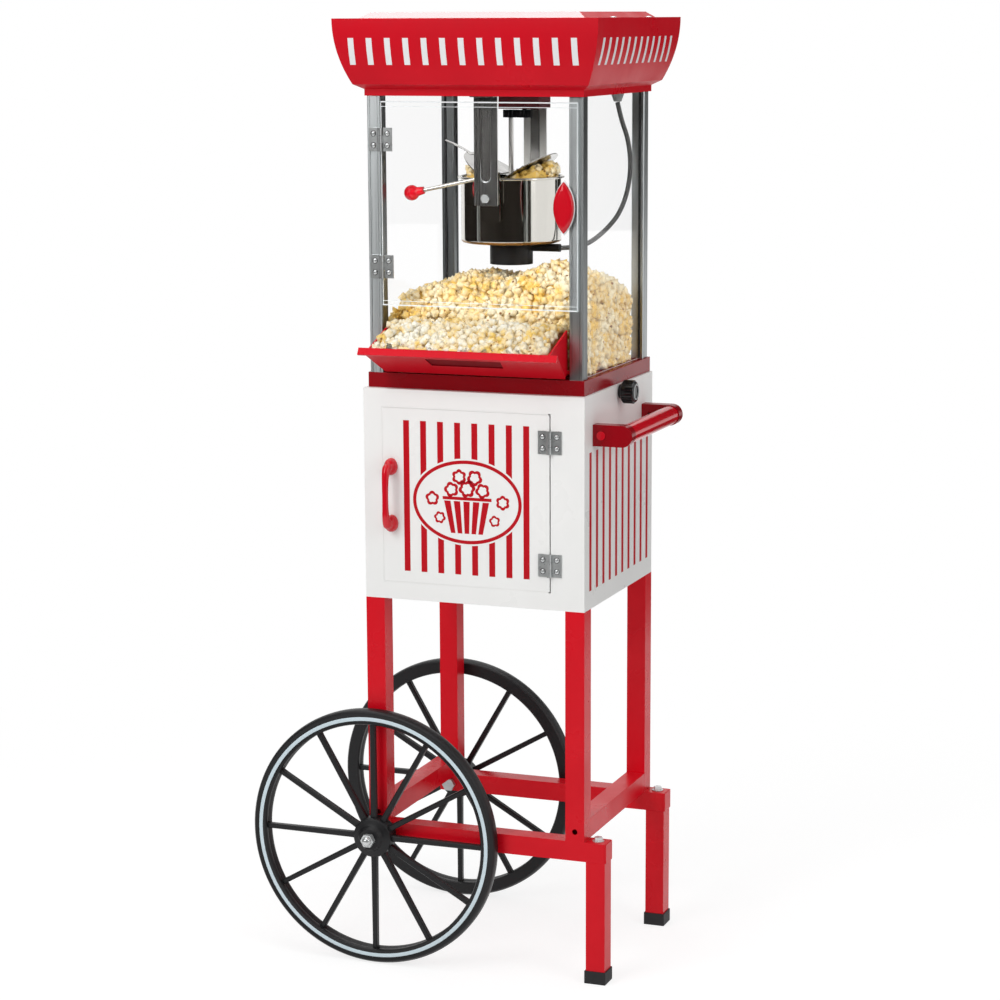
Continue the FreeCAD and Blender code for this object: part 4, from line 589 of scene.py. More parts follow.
def along(point, axis):
    """Matrix that lays local Z along an axis at a point."""
    return Matrix.Translation(point) @ Vector(axis).to_track_quat("Z", "Y").to_matrix().to_4x4()


def outward(work):
    """Turn every face of a closed form outward."""
    bmesh.ops.recalc_face_normals(work, faces=work.faces)


def bridged(work, rings, caps=True):
    """Join rings of vertices in turn by faces, and close the first and the last."""
    for first, second in zip(rings, rings[1:]):
        for at in range(len(first)):
            after = (at + 1) % len(first)
            work.faces.new((first[at], first[after], second[after], second[at]))
    if caps:
        work.faces.new(list(reversed(rings[0])))
        work.faces.new(rings[-1])


def turned(work, profile, place=None, steps=48, closed=False):
    """Add a turned form from (radius, height) pairs about local Z, going up its outside."""
    place = place or Matrix()
    rings = []
    for radius, height in profile:
        angles = round_angles(steps) if radius > 1e-7 else [0.0]
        rings.append([work.verts.new(place @ Vector((radius * math.cos(a), radius * math.sin(a), height)))
                      for a in angles])
    for low, high in list(zip(rings, rings[1:])) + ([(rings[-1], rings[0])] if closed else []):
        for step in range(steps):
            after = (step + 1) % steps
            corners = [low[step % len(low)], low[after % len(low)], high[after % len(high)], high[step % len(high)]]
            corners = [corner for at, corner in enumerate(corners) if corner not in corners[:at]]
            if len(corners) > 2:
                work.faces.new(corners)


def lathe(name, profile, finish, place=None, steps=48, closed=False, smooth=35.0):
    """Turned piece of its own."""
    work = bmesh.new()
    turned(work, profile, place, steps, closed)
    if closed:
        outward(work)
    return piece_of(name, work, finish, smooth=smooth)


def swept(work, points, radii, steps=16):
    """Add a closed tube along points, with a radius at each."""
    points = [Vector(point) for point in points]
    ways = [(after - before).normalized() for before, after in
            zip([points[0]] + points[:-1], points[1:] + [points[-1]])]
    side = ways[0].orthogonal().normalized()
    rings = []
    for point, way, radius in zip(points, ways, radii):
        side = (side - way * side.dot(way)).normalized()
        up = way.cross(side)
        rings.append([work.verts.new(point + (side * math.cos(a) + up * math.sin(a)) * radius)
                      for a in round_angles(steps)])
    bridged(work, rings)


def curve_through(corners, steps=10):
    """Points of a smooth line through the given corners."""
    corners = [Vector(corner) for corner in corners]
    ends = [2 * corners[0] - corners[1]] + corners + [2 * corners[-1] - corners[-2]]
    line = []
    for a, b, c, d in zip(ends, ends[1:], ends[2:], ends[3:]):
        for step in range(steps):
            t = step / steps
            line.append(0.5 * (2 * b + (c - a) * t + (2 * a - 5 * b + 4 * c - d) * t ** 2
                               + (3 * b - a - 3 * c + d) * t ** 3))
    return line + [corners[-1]]


# Geometry Nodes

def geometry_group(name, *inputs):
    """Geometry group that is given a mesh, its own inputs and a material."""
    return new_group(name, "GeometryNodeTree",
                     [("Geometry", "Geometry", None), *inputs, ("Material", "Material", None)],
                     [("Geometry", "Geometry")])


def add_copies(tree, points, instance, **values):
    return add_node(tree, "GeometryNodeInstanceOnPoints", Points=points, Instance=instance,
                    **values).outputs["Instances"]


def close_tree(tree, given, end, instances):
    """Make the instances real, give them their material and put them out."""
    real = add_node(tree, "GeometryNodeRealizeInstances", Geometry=instances)
    paint = add_node(tree, "GeometryNodeSetMaterial", Geometry=real.outputs["Geometry"], Material=given["Material"])
    fill(tree, end["Geometry"], paint.outputs["Geometry"])
    return tree


@once("Repeat In A Row")
def row_tree(name):
    """The object's own mesh, repeated along a line."""
    tree, given, end = geometry_group(name, ("Count", "Int", 2), ("Step", "Vector", (0.01, 0.0, 0.0)))
    line = add_node(tree, "GeometryNodeMeshLine", {"mode": "OFFSET"}, Count=given["Count"], Offset=given["Step"])
    return close_tree(tree, given, end, add_copies(tree, line.outputs["Mesh"], given["Geometry"]))


@once("Repeat Round")
def round_tree(name):
    """The object's own mesh, repeated round its Z axis."""
    tree, given, end = geometry_group(name, ("Count", "Int", 12))
    points = add_node(tree, "GeometryNodePoints", Count=given["Count"])
    number = tree.nodes.new("GeometryNodeInputIndex").outputs["Index"]
    angle = combined(tree, "MULTIPLY", combined(tree, "DIVIDE", number, given["Count"]), 2 * math.pi)
    about = add_node(tree, "ShaderNodeCombineXYZ", Z=angle)
    rotation = add_node(tree, "FunctionNodeEulerToRotation", Euler=about.outputs["Vector"])
    return close_tree(tree, given, end, add_copies(tree, points.outputs["Points"], given["Geometry"],
                                                   Rotation=rotation.outputs["Rotation"]))


@once("Repeat On Spots")
def spots_tree(name):
    """A template object, repeated on each vertex of the object."""
    tree, given, end = geometry_group(name, ("Template", "Object", None))
    template = add_node(tree, "GeometryNodeObjectInfo", Object=given["Template"])
    return close_tree(tree, given, end, add_copies(tree, given["Geometry"], template.outputs["Geometry"]))


def random_value(tree, kind, low, high, seed):
    return result_of(add_node(tree, "FunctionNodeRandomValue", {"data_type": kind}, Min=low, Max=high, Seed=seed))


@once("Scatter Puffs")
def scatter_tree(name):
    """Puffs from a collection, scattered over the object's faces, each with its own tone."""
    tree, given, end = geometry_group(name, ("Puffs", "Collection", None), ("Spacing", "Float", 0.011),
                                      ("Seed", "Int", 1))
    seed = given["Seed"]
    spots = add_node(tree, "GeometryNodeDistributePointsOnFaces", {"distribute_method": "POISSON"},
                     Mesh=given["Geometry"], Distance_Min=given["Spacing"], Density_Max=30000.0, Seed=seed)
    shapes = add_node(tree, "GeometryNodeCollectionInfo", Collection=given["Puffs"], Separate_Children=True,
                      Reset_Children=True)
    spin = random_value(tree, "FLOAT_VECTOR", (0.0, 0.0, 0.0), (6.283, 6.283, 6.283), seed)
    rotation = add_node(tree, "FunctionNodeEulerToRotation", Euler=spin)
    copies = add_copies(tree, spots.outputs["Points"], shapes.outputs["Instances"], Pick_Instance=True,
                        Instance_Index=random_value(tree, "INT", 0, 7, seed), Rotation=rotation.outputs["Rotation"],
                        Scale=random_value(tree, "FLOAT", 0.72, 1.12, seed))
    tone = add_node(tree, "GeometryNodeStoreNamedAttribute", {"data_type": "FLOAT", "domain": "INSTANCE"},
                    Geometry=copies, Name="puff_tone", Value=random_value(tree, "FLOAT", 0.0, 1.0, seed))
    return close_tree(tree, given, end, tone.outputs["Geometry"])


def grown(item, tree, values):
    """Run a geometry tree on an object, with inputs by name, and keep the plain mesh."""
    modifier = item.modifiers.new(tree.name, "NODES")
    modifier.node_group = tree
    for socket in tree.interface.items_tree:
        if socket.item_type == "SOCKET" and socket.in_out == "INPUT" and socket.name in values:
            modifier[socket.identifier] = values[socket.name]
    return baked(item)


def joined(name, items, *finishes):
    """One piece from several, keeping each one's finish."""
    mesh = bpy.data.meshes.new(name)
    work = bmesh.new()
    for number, item in enumerate(items):
        first = len(work.faces)
        work.from_mesh(item.data)
        work.faces.ensure_lookup_table()
        for face in work.faces[first:]:
            face.material_index = min(number, len(finishes) - 1)
        drop(item)
    work.to_mesh(mesh)
    work.free()
    for finish in finishes:
        mesh.materials.append(finish_named(finish))
    return object_of(name, mesh)


def on_spots(name, spots, template, finish):
    """A template repeated at the given points, as one plain mesh. The template is used up."""
    mesh = bpy.data.meshes.new(name)
    mesh.from_pydata([tuple(spot) for spot in spots], [], [])
    item = grown(object_of(name, mesh), spots_tree(), {"Template": template, "Material": finish_named(finish)})
    drop(template)
    return item


# Studio

CAMERA_PLACE = Vector((1.29359, -3.28054, 1.21548))
CAMERA_YAW, CAMERA_PITCH, CAMERA_ROLL = (math.radians(angle) for angle in (20.609, 11.173, -0.230))
CAMERA_LENS, CAMERA_SENSOR = 98.602, 36.0
CAMERA_SHIFT = (-0.01528, 0.05589)


def make_camera():
    ahead = Vector((-math.sin(CAMERA_YAW) * math.cos(CAMERA_PITCH), math.cos(CAMERA_YAW) * math.cos(CAMERA_PITCH),
                    -math.sin(CAMERA_PITCH)))
    level = Vector((math.cos(CAMERA_YAW), math.sin(CAMERA_YAW), 0.0))
    above = level.cross(ahead)
    right = level * math.cos(CAMERA_ROLL) + above * math.sin(CAMERA_ROLL)
    up = above * math.cos(CAMERA_ROLL) - level * math.sin(CAMERA_ROLL)
    data = bpy.data.cameras.new("studio_camera")
    data.lens, data.sensor_width = CAMERA_LENS, CAMERA_SENSOR
    data.shift_x, data.shift_y = CAMERA_SHIFT
    item = object_of("studio_camera", data)
    turn = Matrix((right, up, -ahead)).transposed().to_4x4()
    item.matrix_world = Matrix.Translation(CAMERA_PLACE) @ turn
    bpy.context.scene.camera = item


def add_lamp(name, kind, place, aim, energy, **settings):
    data = bpy.data.lights.new(name, kind)
    data.energy = energy
    for key, value in settings.items():
        setattr(data, key, value)
    item = object_of(name, data)
    item.location = place
    item.rotation_euler = (Vector(aim) - Vector(place)).to_track_quat("-Z", "Y").to_euler()
    return item


def area_lamp(name, place, aim, size, energy):
    add_lamp(name, "AREA", place, aim, energy, shape="RECTANGLE", size=size[0], size_y=size[1])


def tray_lamp(place, aim, energy):
    """Soft spot on the full tray, under the canopy's shadow."""
    lamp = add_lamp("tray_lamp", "SPOT", place, aim, energy, spot_size=math.radians(13.0), spot_blend=1.0,
                    shadow_soft_size=0.22)
    lamp.visible_glossy = False


def seen_ray(tree):
    """One where a ray comes from the camera, a mirror or glass."""
    rays = tree.nodes.new("ShaderNodeLightPath").outputs
    direct = combined(tree, "MAXIMUM", rays["Is Camera Ray"], rays["Is Glossy Ray"])
    return combined(tree, "MAXIMUM", direct, rays["Is Transmission Ray"])


def make_world(strength):
    world = bpy.data.worlds.new("studio_world")
    bpy.context.scene.world = world
    world.use_nodes = True
    tree = world.node_tree
    set_shader(tree, tree.nodes["Background"], Color=(1.0, 1.0, 1.0, 1.0),
               Strength=ranged(tree, seen_ray(tree), 0.0, 1.0, strength, 1.0))


def make_floor():
    """Pale floor that keeps the shadow and runs out to white."""
    tree, shader = start_material("studio_floor")
    set_shader(tree, shader, Base_Color=mottled(tree, 3.0, (0.80, 0.80, 0.80), (0.79, 0.79, 0.79)), Roughness=0.8,
               Specular_IOR_Level=0.2)
    glow, white = (add_node(tree, "ShaderNodeEmission", Color=(1.0, 1.0, 1.0, 1.0), Strength=strength)
                   for strength in (1.29, 1.0))
    seen = seen_ray(tree)
    lifted = mixed_shader(tree, combined(tree, "MULTIPLY", seen, 0.6), shader.outputs["BSDF"],
                          glow.outputs["Emission"])
    away = add_node(tree, "ShaderNodeVectorMath", {"operation": "LENGTH"})
    fill(tree, away.inputs[0], spot_in_object(tree))
    far = ranged(tree, away.outputs["Value"], 0.35, 1.5, interpolation_type="SMOOTHSTEP")
    show(tree, mixed_shader(tree, combined(tree, "MULTIPLY", far, seen), lifted, white.outputs["Emission"]))
    lathe("studio_floor", [(8.0, 0.0), (0.0, 0.0)], "studio_floor", steps=64)


def stage_hidden(item, *rays):
    """Put a piece on the stage, unseen by some kinds of rays."""
    for ray in rays:
        setattr(item, "visible_" + ray, False)


def make_dark_wall():
    """Dark wall round the front of the studio, which only shows in gloss."""
    tree, shader = start_material("studio_dark")
    set_shader(tree, shader, Base_Color=mottled(tree, 2.0, (0.014, 0.012, 0.010), (0.05, 0.042, 0.036)),
               Roughness=0.9, Specular_IOR_Level=0.0)
    clear = tree.nodes.new("ShaderNodeBsdfTransparent").outputs["BSDF"]
    rays = tree.nodes.new("ShaderNodeLightPath").outputs
    show(tree, mixed_shader(tree, rays["Glossy Depth"], clear, shader.outputs["BSDF"]))
    profile = ((2.0, 0.01), (2.0, 0.42), (2.0, 0.8), (2.0, 1.2), (4.6, 1.75), (4.6, 2.6), (3.2, 4.4))
    work = bmesh.new()
    for low, high, bands in ((-205.0, -23.0, (0, 1, 2, 3, 4, 5)), (49.0, 88.0, (0, 2, 3, 4, 5))):
        rows = [[work.verts.new((reach * math.cos(turn), reach * math.sin(turn), height))
                 for reach, height in profile]
                for turn in steps_between(math.radians(low), math.radians(high), 33)]
        for first, second in zip(rows, rows[1:]):
            for at in bands:
                work.faces.new((first[at], first[at + 1], second[at + 1], second[at]))
    stage_hidden(piece_of("studio_dark_wall", work, "studio_dark"), "camera", "diffuse", "shadow")


def make_strip():
    """Bright strip overhead, which only shows in gloss."""
    tree, shader = start_material("studio_bright")
    set_shader(tree, shader, Emission_Color=mottled(tree, 2.0, (1.0, 1.0, 1.0), (0.96, 0.96, 0.96)), Roughness=0.9,
               Specular_IOR_Level=0.0, Emission_Strength=4.0)
    work = bmesh.new()
    rows = [[work.verts.new((x, y, z)) for x in (-1.6, 0.5)] for y, z in ((0.3, 3.5), (0.75, 3.45), (1.2, 3.3))]
    for first, second in zip(rows, rows[1:]):
        work.faces.new((first[0], second[0], second[1], first[1]))
    stage_hidden(piece_of("studio_strip", work, "studio_bright"), "camera", "diffuse", "transmission", "shadow")


class StageOperator(bpy.types.Operator):
    """Make the camera, the lamps, the floor and the white surroundings"""
    bl_idname = "popcorn_cart.stage"
    bl_label = "Studio"

    def execute(self, context):
        context.scene.view_settings.view_transform = "Standard"
        studio = context.scene.cart_studio
        build_materials()
        make_camera()
        make_world(studio.sky)
        make_floor()
        area_lamp("key_lamp", (-1.5, -3.3, 2.6), (0.0, 0.0, 0.7), (2.2, 2.2), studio.key)
        area_lamp("fill_lamp", (3.0, -1.4, 1.8), (0.0, 0.0, 0.7), (1.6, 2.0), studio.fill)
        area_lamp("top_lamp", (0.2, -0.4, 3.4), (0.0, 0.0, 0.9), (2.4, 2.0), studio.top)
        tray_lamp((-0.45, -1.75, 2.3), (0.02, -0.13, 0.84), studio.tray)
        make_dark_wall()
        make_strip()
        return {"FINISHED"}


# Kettle cord

CORD_ROUTE = [(165.9, 93.6, 1105.2), (169.3, 96.6, 1084.6), (177.3, 103.1, 1058.6), (180.8, 104.6, 1024.6),
              (178.3, 98.6, 990.6), (171.3, 85.6, 963.6), (163.3, 65.6, 947.6), (155.3, 42.6, 935.6),
              (147.3, 21.6, 928.1), (134.3, 11.8, 925.3), (120.3, 9.6, 924.6)]
CORD_DIAMETER = 6.0 * MM


class CordOperator(bpy.types.Operator):
    """Make the kettle's cord"""
    bl_idname = "popcorn_cart.cord"
    bl_label = "Kettle cord"

    def execute(self, context):
        route = [Vector(point) * MM for point in CORD_ROUTE]
        data = bpy.data.curves.new("cord_route", "CURVE")
        data.dimensions = "3D"
        spline = data.splines.new("NURBS")
        spline.points.add(len(route) - 1)
        for point, place in zip(spline.points, route):
            point.co = (*place, 1.0)
        spline.order_u = 3
        spline.use_endpoint_u = True
        spline.resolution_u = 10
        guide = object_of("cord_route", data)
        graph = context.evaluated_depsgraph_get()
        line_mesh = bpy.data.meshes.new_from_object(guide.evaluated_get(graph))
        line = [vertex.co.copy() for vertex in line_mesh.vertices]
        bpy.data.meshes.remove(line_mesh)
        bpy.data.objects.remove(guide)
        bpy.data.curves.remove(data)
        work = bmesh.new()
        swept(work, line, [CORD_DIAMETER / 2] * len(line), 18)
        cord = piece_of("kettle_cord_jacket", work, "cord_jacket", smooth=60.0)
        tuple(route[0])
        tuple(route[-1])
        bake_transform(cord)
        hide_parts("kettle_cord")
        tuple(route[0])
        softened("cord_socket", "motor_case", 0.8 * MM)
        return {"FINISHED"}


# Cart

class TubeFrameOperator(bpy.types.Operator):
    """Round the tubes, feet, plugs and bolts of the cart's frame"""
    bl_idname = "popcorn_cart.tube_frame"
    bl_label = "Tube frame"

    def execute(self, context):
        sizes = trim()
        for node in ("front_side_frame", "rear_side_frame", "crossbars", "foot_legs"):
            softened(node, "red_paint", sizes.tube_edge, 3)
        softened("foot_caps", "rubber", sizes.moulded_edge, 3)
        softened("rail_end_plugs", "red_paint", sizes.sheet_edge, slot="red_plastic")
        bolts = softened("cart_bolts", "bright_nut", sizes.small_edge)
        bolts.data.materials.append(finish_named("red_gloss"))
        for face in bolts.data.polygons:
            face.material_index = 1 if face.center.z > 550 * MM else 0
        finish_node("wheel_axles", "zinc_plate")
        return {"FINISHED"}


def wheel_rim(radius, bed, inner, outer):
    """Profile of a rim with a rounded tread and a recessed outer face."""
    middle, half = (inner + outer) / 2, (outer - inner) / 2
    tread = [(radius - 3.6 * MM * (abs(share) ** 3.2), middle + half * share)
             for share in (-1.0, -0.9, -0.75, -0.5, 0.0, 0.5, 0.75, 0.9, 1.0)]
    return tread + [
        (radius - 6.2 * MM, outer), (radius - 7.0 * MM, outer - 0.5 * MM), (bed + 4.6 * MM, outer - 0.5 * MM),
        (bed + 3.9 * MM, outer), (bed + 1.2 * MM, outer), (bed, outer - 1.4 * MM), (bed, middle + 4.0 * MM),
        (bed + 1.6 * MM, middle), (bed, middle - 4.0 * MM), (bed, inner + 1.4 * MM), (bed + 1.2 * MM, inner),
        (radius - 6.2 * MM, inner)]


def wheel_spoke(name, end, middle):
    """One tapered spoke with cut corners, along X."""
    work = bmesh.new()
    deep, cut = 4.5 * MM, 1.3 * MM
    rings = []
    for reach, wide in ((19.0 * MM, 4.4 * MM), (34.0 * MM, 3.7 * MM), (end - 12.0 * MM, 3.2 * MM),
                        (end - 3.0 * MM, 3.4 * MM), (end, 4.6 * MM)):
        section = [(wide, deep - cut), (wide - cut, deep), (cut - wide, deep), (-wide, deep - cut),
                   (-wide, cut - deep), (cut - wide, -deep), (wide - cut, -deep), (wide, cut - deep)]
        rings.append([work.verts.new((reach, across, middle + tall)) for across, tall in section])
    bridged(work, rings)
    outward(work)
    return piece_of(name, work, "wheel_black")


def wheel_piece(name, node):
    """Spoked wheel: a rim with a rounded tread, tapered spokes and a ribbed conical hub."""
    low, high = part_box(node)
    centre = (low + high) / 2
    outside = -1.0 if centre.y < 0 else 1.0
    radius = (high.z - low.z) / 2
    inner, outer, hub_end = 1.6 * MM, 21.6 * MM, high.y - low.y
    place = along((centre.x, high.y if outside < 0 else low.y, centre.z), (0.0, outside, 0.0))
    bed, bore = radius - 19.0 * MM, 5.2 * MM
    rim = lathe(name + "_rim", wheel_rim(radius, bed, inner, outer), "wheel_black", place, 128, True, 50.0)
    spokes = grown(wheel_spoke(name + "_spokes", bed + 3.0 * MM, (inner + outer) / 2), round_tree(),
                   {"Count": trim().spokes, "Material": finish_named("wheel_black")})
    spokes.data.transform(place)
    cone = in_mm([(25.0, 0.0), (26.0, 1.0), (26.0, 19.6), (25.2, 21.0), (23.4, 21.8), (19.0, 22.8), (16.6, 24.2),
                  (15.4, 26.6)])
    hub = lathe(name + "_hub", [(bore, 0.0), *cone, (14.6 * MM, hub_end - 0.9 * MM), (13.6 * MM, hub_end),
                                (bore, hub_end)], "wheel_black", place, 64, True, 50.0)
    face = outer - 0.5 * MM
    band = [(reach * MM, face + up * MM) for reach, up in ((156.0, -0.2), (160.9, -0.2), (160.9, 0.08), (160.5, 0.25),
                                                           (156.4, 0.25), (156.0, 0.08))]
    settle(lathe(name + "_ring", band, "wheel_ring", place, 128, True, 50.0), node)
    whole = joined(name, [rim, spokes, hub], "wheel_black")
    smooth_below(whole.data, 42.0)
    settle(whole, node, [node], "black_plastic")


class WheelsOperator(bpy.types.Operator):
    """Make the two spoked wheels with their painted rings and nuts"""
    bl_idname = "popcorn_cart.wheels"
    bl_label = "Wheels"

    def execute(self, context):
        wheel_piece("front_spoked_wheel", "front_wheel")
        wheel_piece("rear_spoked_wheel", "rear_wheel")
        softened("axle_nuts", "bright_nut", trim().small_edge)
        return {"FINISHED"}


# Cabinet

class CabinetOperator(bpy.types.Operator):
    """Round the cabinet's sheets, its door and its catch"""
    bl_idname = "popcorn_cart.cabinet"
    bl_label = "Cabinet"

    def execute(self, context):
        sizes = trim()
        for node in ("cabinet_front_panel", "cabinet_left_panel", "cabinet_right_panel", "cabinet_rear_panel",
                     "cabinet_top", "cabinet_floor"):
            softened(node, "white_enamel", sizes.sheet_edge)
        softened("cabinet_door", "white_enamel", sizes.sheet_edge * 1.4, 3)
        softened("magnetic_catch", "black_moulding", sizes.small_edge)
        self.door_collar()
        return {"FINISHED"}

    def door_collar(self):
        """Folded collar on three sides of the door's opening, just behind the front sheet."""
        low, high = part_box("cabinet_door")
        inside, outside = 0.2 * MM, 1.5 * MM
        near, far = low.y + 0.4 * MM, low.y + 11.0 * MM
        collar = bmesh.new()
        block(collar, (low.x - outside, near, low.z - outside), (low.x - inside, far, high.z + outside))
        block(collar, (low.x - inside, near, low.z - outside), (high.x - 2 * MM, far, low.z - inside))
        block(collar, (low.x - inside, near, high.z + inside), (high.x - 2 * MM, far, high.z + outside))
        settle(piece_of("door_collar", collar, "white_enamel"), "cart", slot="white_steel")


def stripe_row(name, low, high, number, step, finish):
    """Row of thin painted stripes from the first one's corners."""
    work = bmesh.new()
    block(work, low, high)
    return grown(piece_of(name, work, finish), row_tree(),
                 {"Count": number, "Step": step, "Material": finish_named(finish)})


def ellipse_film(name, centre, half, front, thickness, finish, inner=None):
    """Thin oval, or an oval ring where an inner half size is given, on a front face."""
    work = bmesh.new()
    loops = [[work.verts.new((centre[0] + size[0] * math.cos(a), depth, centre[1] + size[1] * math.sin(a)))
              for a in round_angles(96)]
             for size in (half, inner) if size for depth in (front, front - thickness)]
    if inner:
        back, face, inner_back, inner_face = loops
        loops = [back, face, inner_face, inner_back, back]
    bridged(work, loops, caps=not inner)
    outward(work)
    return piece_of(name, work, finish)


def flat_shape(name, outline, front, thickness, finish):
    """Thin flat shape from (x, z) corners on a front face."""
    work = bmesh.new()
    bridged(work, [[work.verts.new((x, depth, z)) for x, z in outline] for depth in (front, front - thickness)])
    outward(work)
    return piece_of(name, work, finish)


def puff_outline(x, z, size, lobes, turn):
    """Scalloped outline of a printed puff."""
    outline = []
    for angle in round_angles(lobes * 8):
        reach = size * (0.78 + 0.22 * abs(math.sin(lobes * angle / 2)))
        outline.append((x + reach * math.cos(angle + turn), z + reach * math.sin(angle + turn)))
    return outline


# Printed puffs: place across and up from the oval's middle, size in mm, and lobes
OVAL_PUFFS = [(-21.0, 15.5, 10.0, 5), (0.0, 17.0, 11.5, 6), (21.0, 15.5, 10.0, 5), (-10.5, 32.0, 10.0, 6),
              (10.5, 31.5, 10.5, 5), (-47.0, 3.0, 9.5, 5), (48.0, 2.0, 9.5, 6), (37.0, -22.0, 7.5, 5),
              (-37.0, -21.0, 8.0, 6)]


class PaintedTrimOperator(bpy.types.Operator):
    """Paint the stripes and the oval on the cabinet"""
    bl_idname = "popcorn_cart.painted_trim"
    bl_label = "Painted trim"

    def execute(self, context):
        sizes = trim()
        low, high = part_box("cabinet_front_panel")
        middle_x = (low.x + high.x) / 2
        door_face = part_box("cabinet_door")[0].y
        first = middle_x + sizes.door_stripe_first
        half = sizes.door_stripe_width / 2
        stripes = stripe_row("door_stripes", (first - half, door_face - sizes.film, sizes.door_stripe_low),
                             (first + half, door_face, sizes.door_stripe_high), sizes.door_stripes,
                             (sizes.door_stripe_pitch, 0.0, 0.0), "stripe_red")
        settle(stripes, "cabinet_door")
        side_low, side_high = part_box("cabinet_right_panel")
        panel_y = (side_low.y + side_high.y) / 2
        start_y = panel_y - sizes.side_stripe_pitch * (sizes.side_stripes - 1) / 2
        for name, face, way in (("right_stripes", high.x, 1.0), ("left_stripes", low.x, -1.0)):
            ends = sorted((face, face + way * sizes.film))
            stripes = stripe_row(name, (ends[0], start_y - half, sizes.side_stripe_low),
                                 (ends[1], start_y + half, sizes.side_stripe_high), sizes.side_stripes,
                                 (0.0, sizes.side_stripe_pitch, 0.0), "stripe_red")
            settle(stripes, "cart")
        self.paint_oval(sizes, middle_x, door_face)
        return {"FINISHED"}

    def paint_oval(self, sizes, middle_x, door_face):
        """White oval with a red ring and a printed tub of popcorn."""
        film = sizes.film
        centre = (middle_x + sizes.oval_left, sizes.oval_up)
        half = (sizes.oval_width / 2, sizes.oval_height / 2)
        ground = door_face - film
        ink = ground - film
        outer, inner = ([size - inset for size in half] for inset in (2.2 * MM, 6.6 * MM))
        tub_head, tub_foot = 31.0, 22.0
        shapes = []
        for number in range(5):
            near, far = (-1 + 2.1 * (number + part) / 5 for part in (0.0, 0.66))
            shapes.append([(near * tub_foot, -40.0), (far * tub_foot, -40.0), (far * tub_head, 1.0),
                           (near * tub_head, 1.0)])
        rim = tub_head + 2.0
        shapes.append([(-rim, 2.5), (rim, 2.5), (rim, 6.5), (-rim, 6.5)])

        def puff_prints(grow, front, thickness, finish):
            return [flat_shape("printed_puff", puff_outline(centre[0] + x * MM, centre[1] + z * MM, size * grow * MM,
                                                            lobes, number * 0.7), front, thickness, finish)
                    for number, (x, z, size, lobes) in enumerate(OVAL_PUFFS)]

        settle(ellipse_film("oval_ground", centre, half, ground, film, "white_enamel"), "cabinet_door")
        prints = [ellipse_film("oval_ring", centre, outer, ink, film, "stripe_red", inner)]
        prints += [flat_shape("printed_tub", [(centre[0] + x * MM, centre[1] + z * MM) for x, z in shape], ink, film,
                              "stripe_red") for shape in shapes]
        prints += puff_prints(1.0, ink, film, "stripe_red")
        settle(joined("oval_print", prints, "stripe_red"), "cabinet_door")
        lights = puff_prints(0.6, ink - film, film * 0.5, "white_enamel")
        settle(joined("oval_puff_lights", lights, "white_enamel"), "cabinet_door")


def islands_of(work):
    """Groups of joined vertices."""
    waiting = set(work.verts)
    for start in work.verts:
        if start not in waiting:
            continue
        waiting.discard(start)
        island, edge = {start}, [start]
        while edge:
            for vertex in [end for link in edge.pop().link_edges for end in link.verts]:
                if vertex in waiting:
                    waiting.discard(vertex)
                    island.add(vertex)
                    edge.append(vertex)
        yield island


def hinge_screws(name, node, body):
    """Domed heads with a small recess over a node's own screws, each on a black ring that is painted shadow."""
    work = merged_copy(node)
    height, radius = 1.4 * MM, 3.1 * MM
    spots = []
    for island in islands_of(work):
        low, high = ([pick(vertex.co[axis] for vertex in island) for axis in range(3)] for pick in (min, max))
        spots.append(((low[0] + high[0]) / 2, low[1] + height, (low[2] + high[2]) / 2))
    work.free()
    ahead = along((0.0, 0.0, 0.0), (0.0, -1.0, 0.0))
    # Black ring under each screw head: painted shadow.
    shadow_ring = lathe("screw_seat", in_mm([(2.6, -0.1), (3.7, -0.1), (3.7, 0.08), (2.6, 0.08)]), "black_moulding", ahead,
                 20, True)
    settle(on_spots(name + "_seats", spots, shadow_ring, "black_moulding"), body, slot="zinc")
    dome = [(0.0, 0.0), (1.0, 0.0), (1.0, 0.3), (0.86, 0.68), (0.5, 0.94), (0.34, 1.0), (0.3, 0.7), (0.0, 0.6)]
    head = lathe("screw_template", [(radius * reach, height * up) for reach, up in dome], "zinc_plate", ahead, 14)
    item = on_spots(name, spots, head, "bright_nut")
    smooth_below(item.data, 50.0)
    settle(item, body, [node], "zinc")


class HingesOperator(bpy.types.Operator):
    """Round the hinge leaves and set their domed screws"""
    bl_idname = "popcorn_cart.hinges"
    bl_label = "Hinges"

    def execute(self, context):
        for node in ("fixed_hinge_leaves", "door_hinge_leaves", "window_hinge_leaves"):
            softened(node, "zinc_plate", trim().small_edge)
        hinge_screws("fixed_screw_heads", "fixed_hinge_screws", "cart")
        hinge_screws("door_screw_heads", "door_hinge_screws", "cabinet_door")
        hinge_screws("window_screw_heads", "window_hinge_screws", "window_door")
        # The hinge pins get a dark copy of the steel: painted shade at the knuckles.
        finish_node("hinge_pins", "groove_steel")
        return {"FINISHED"}


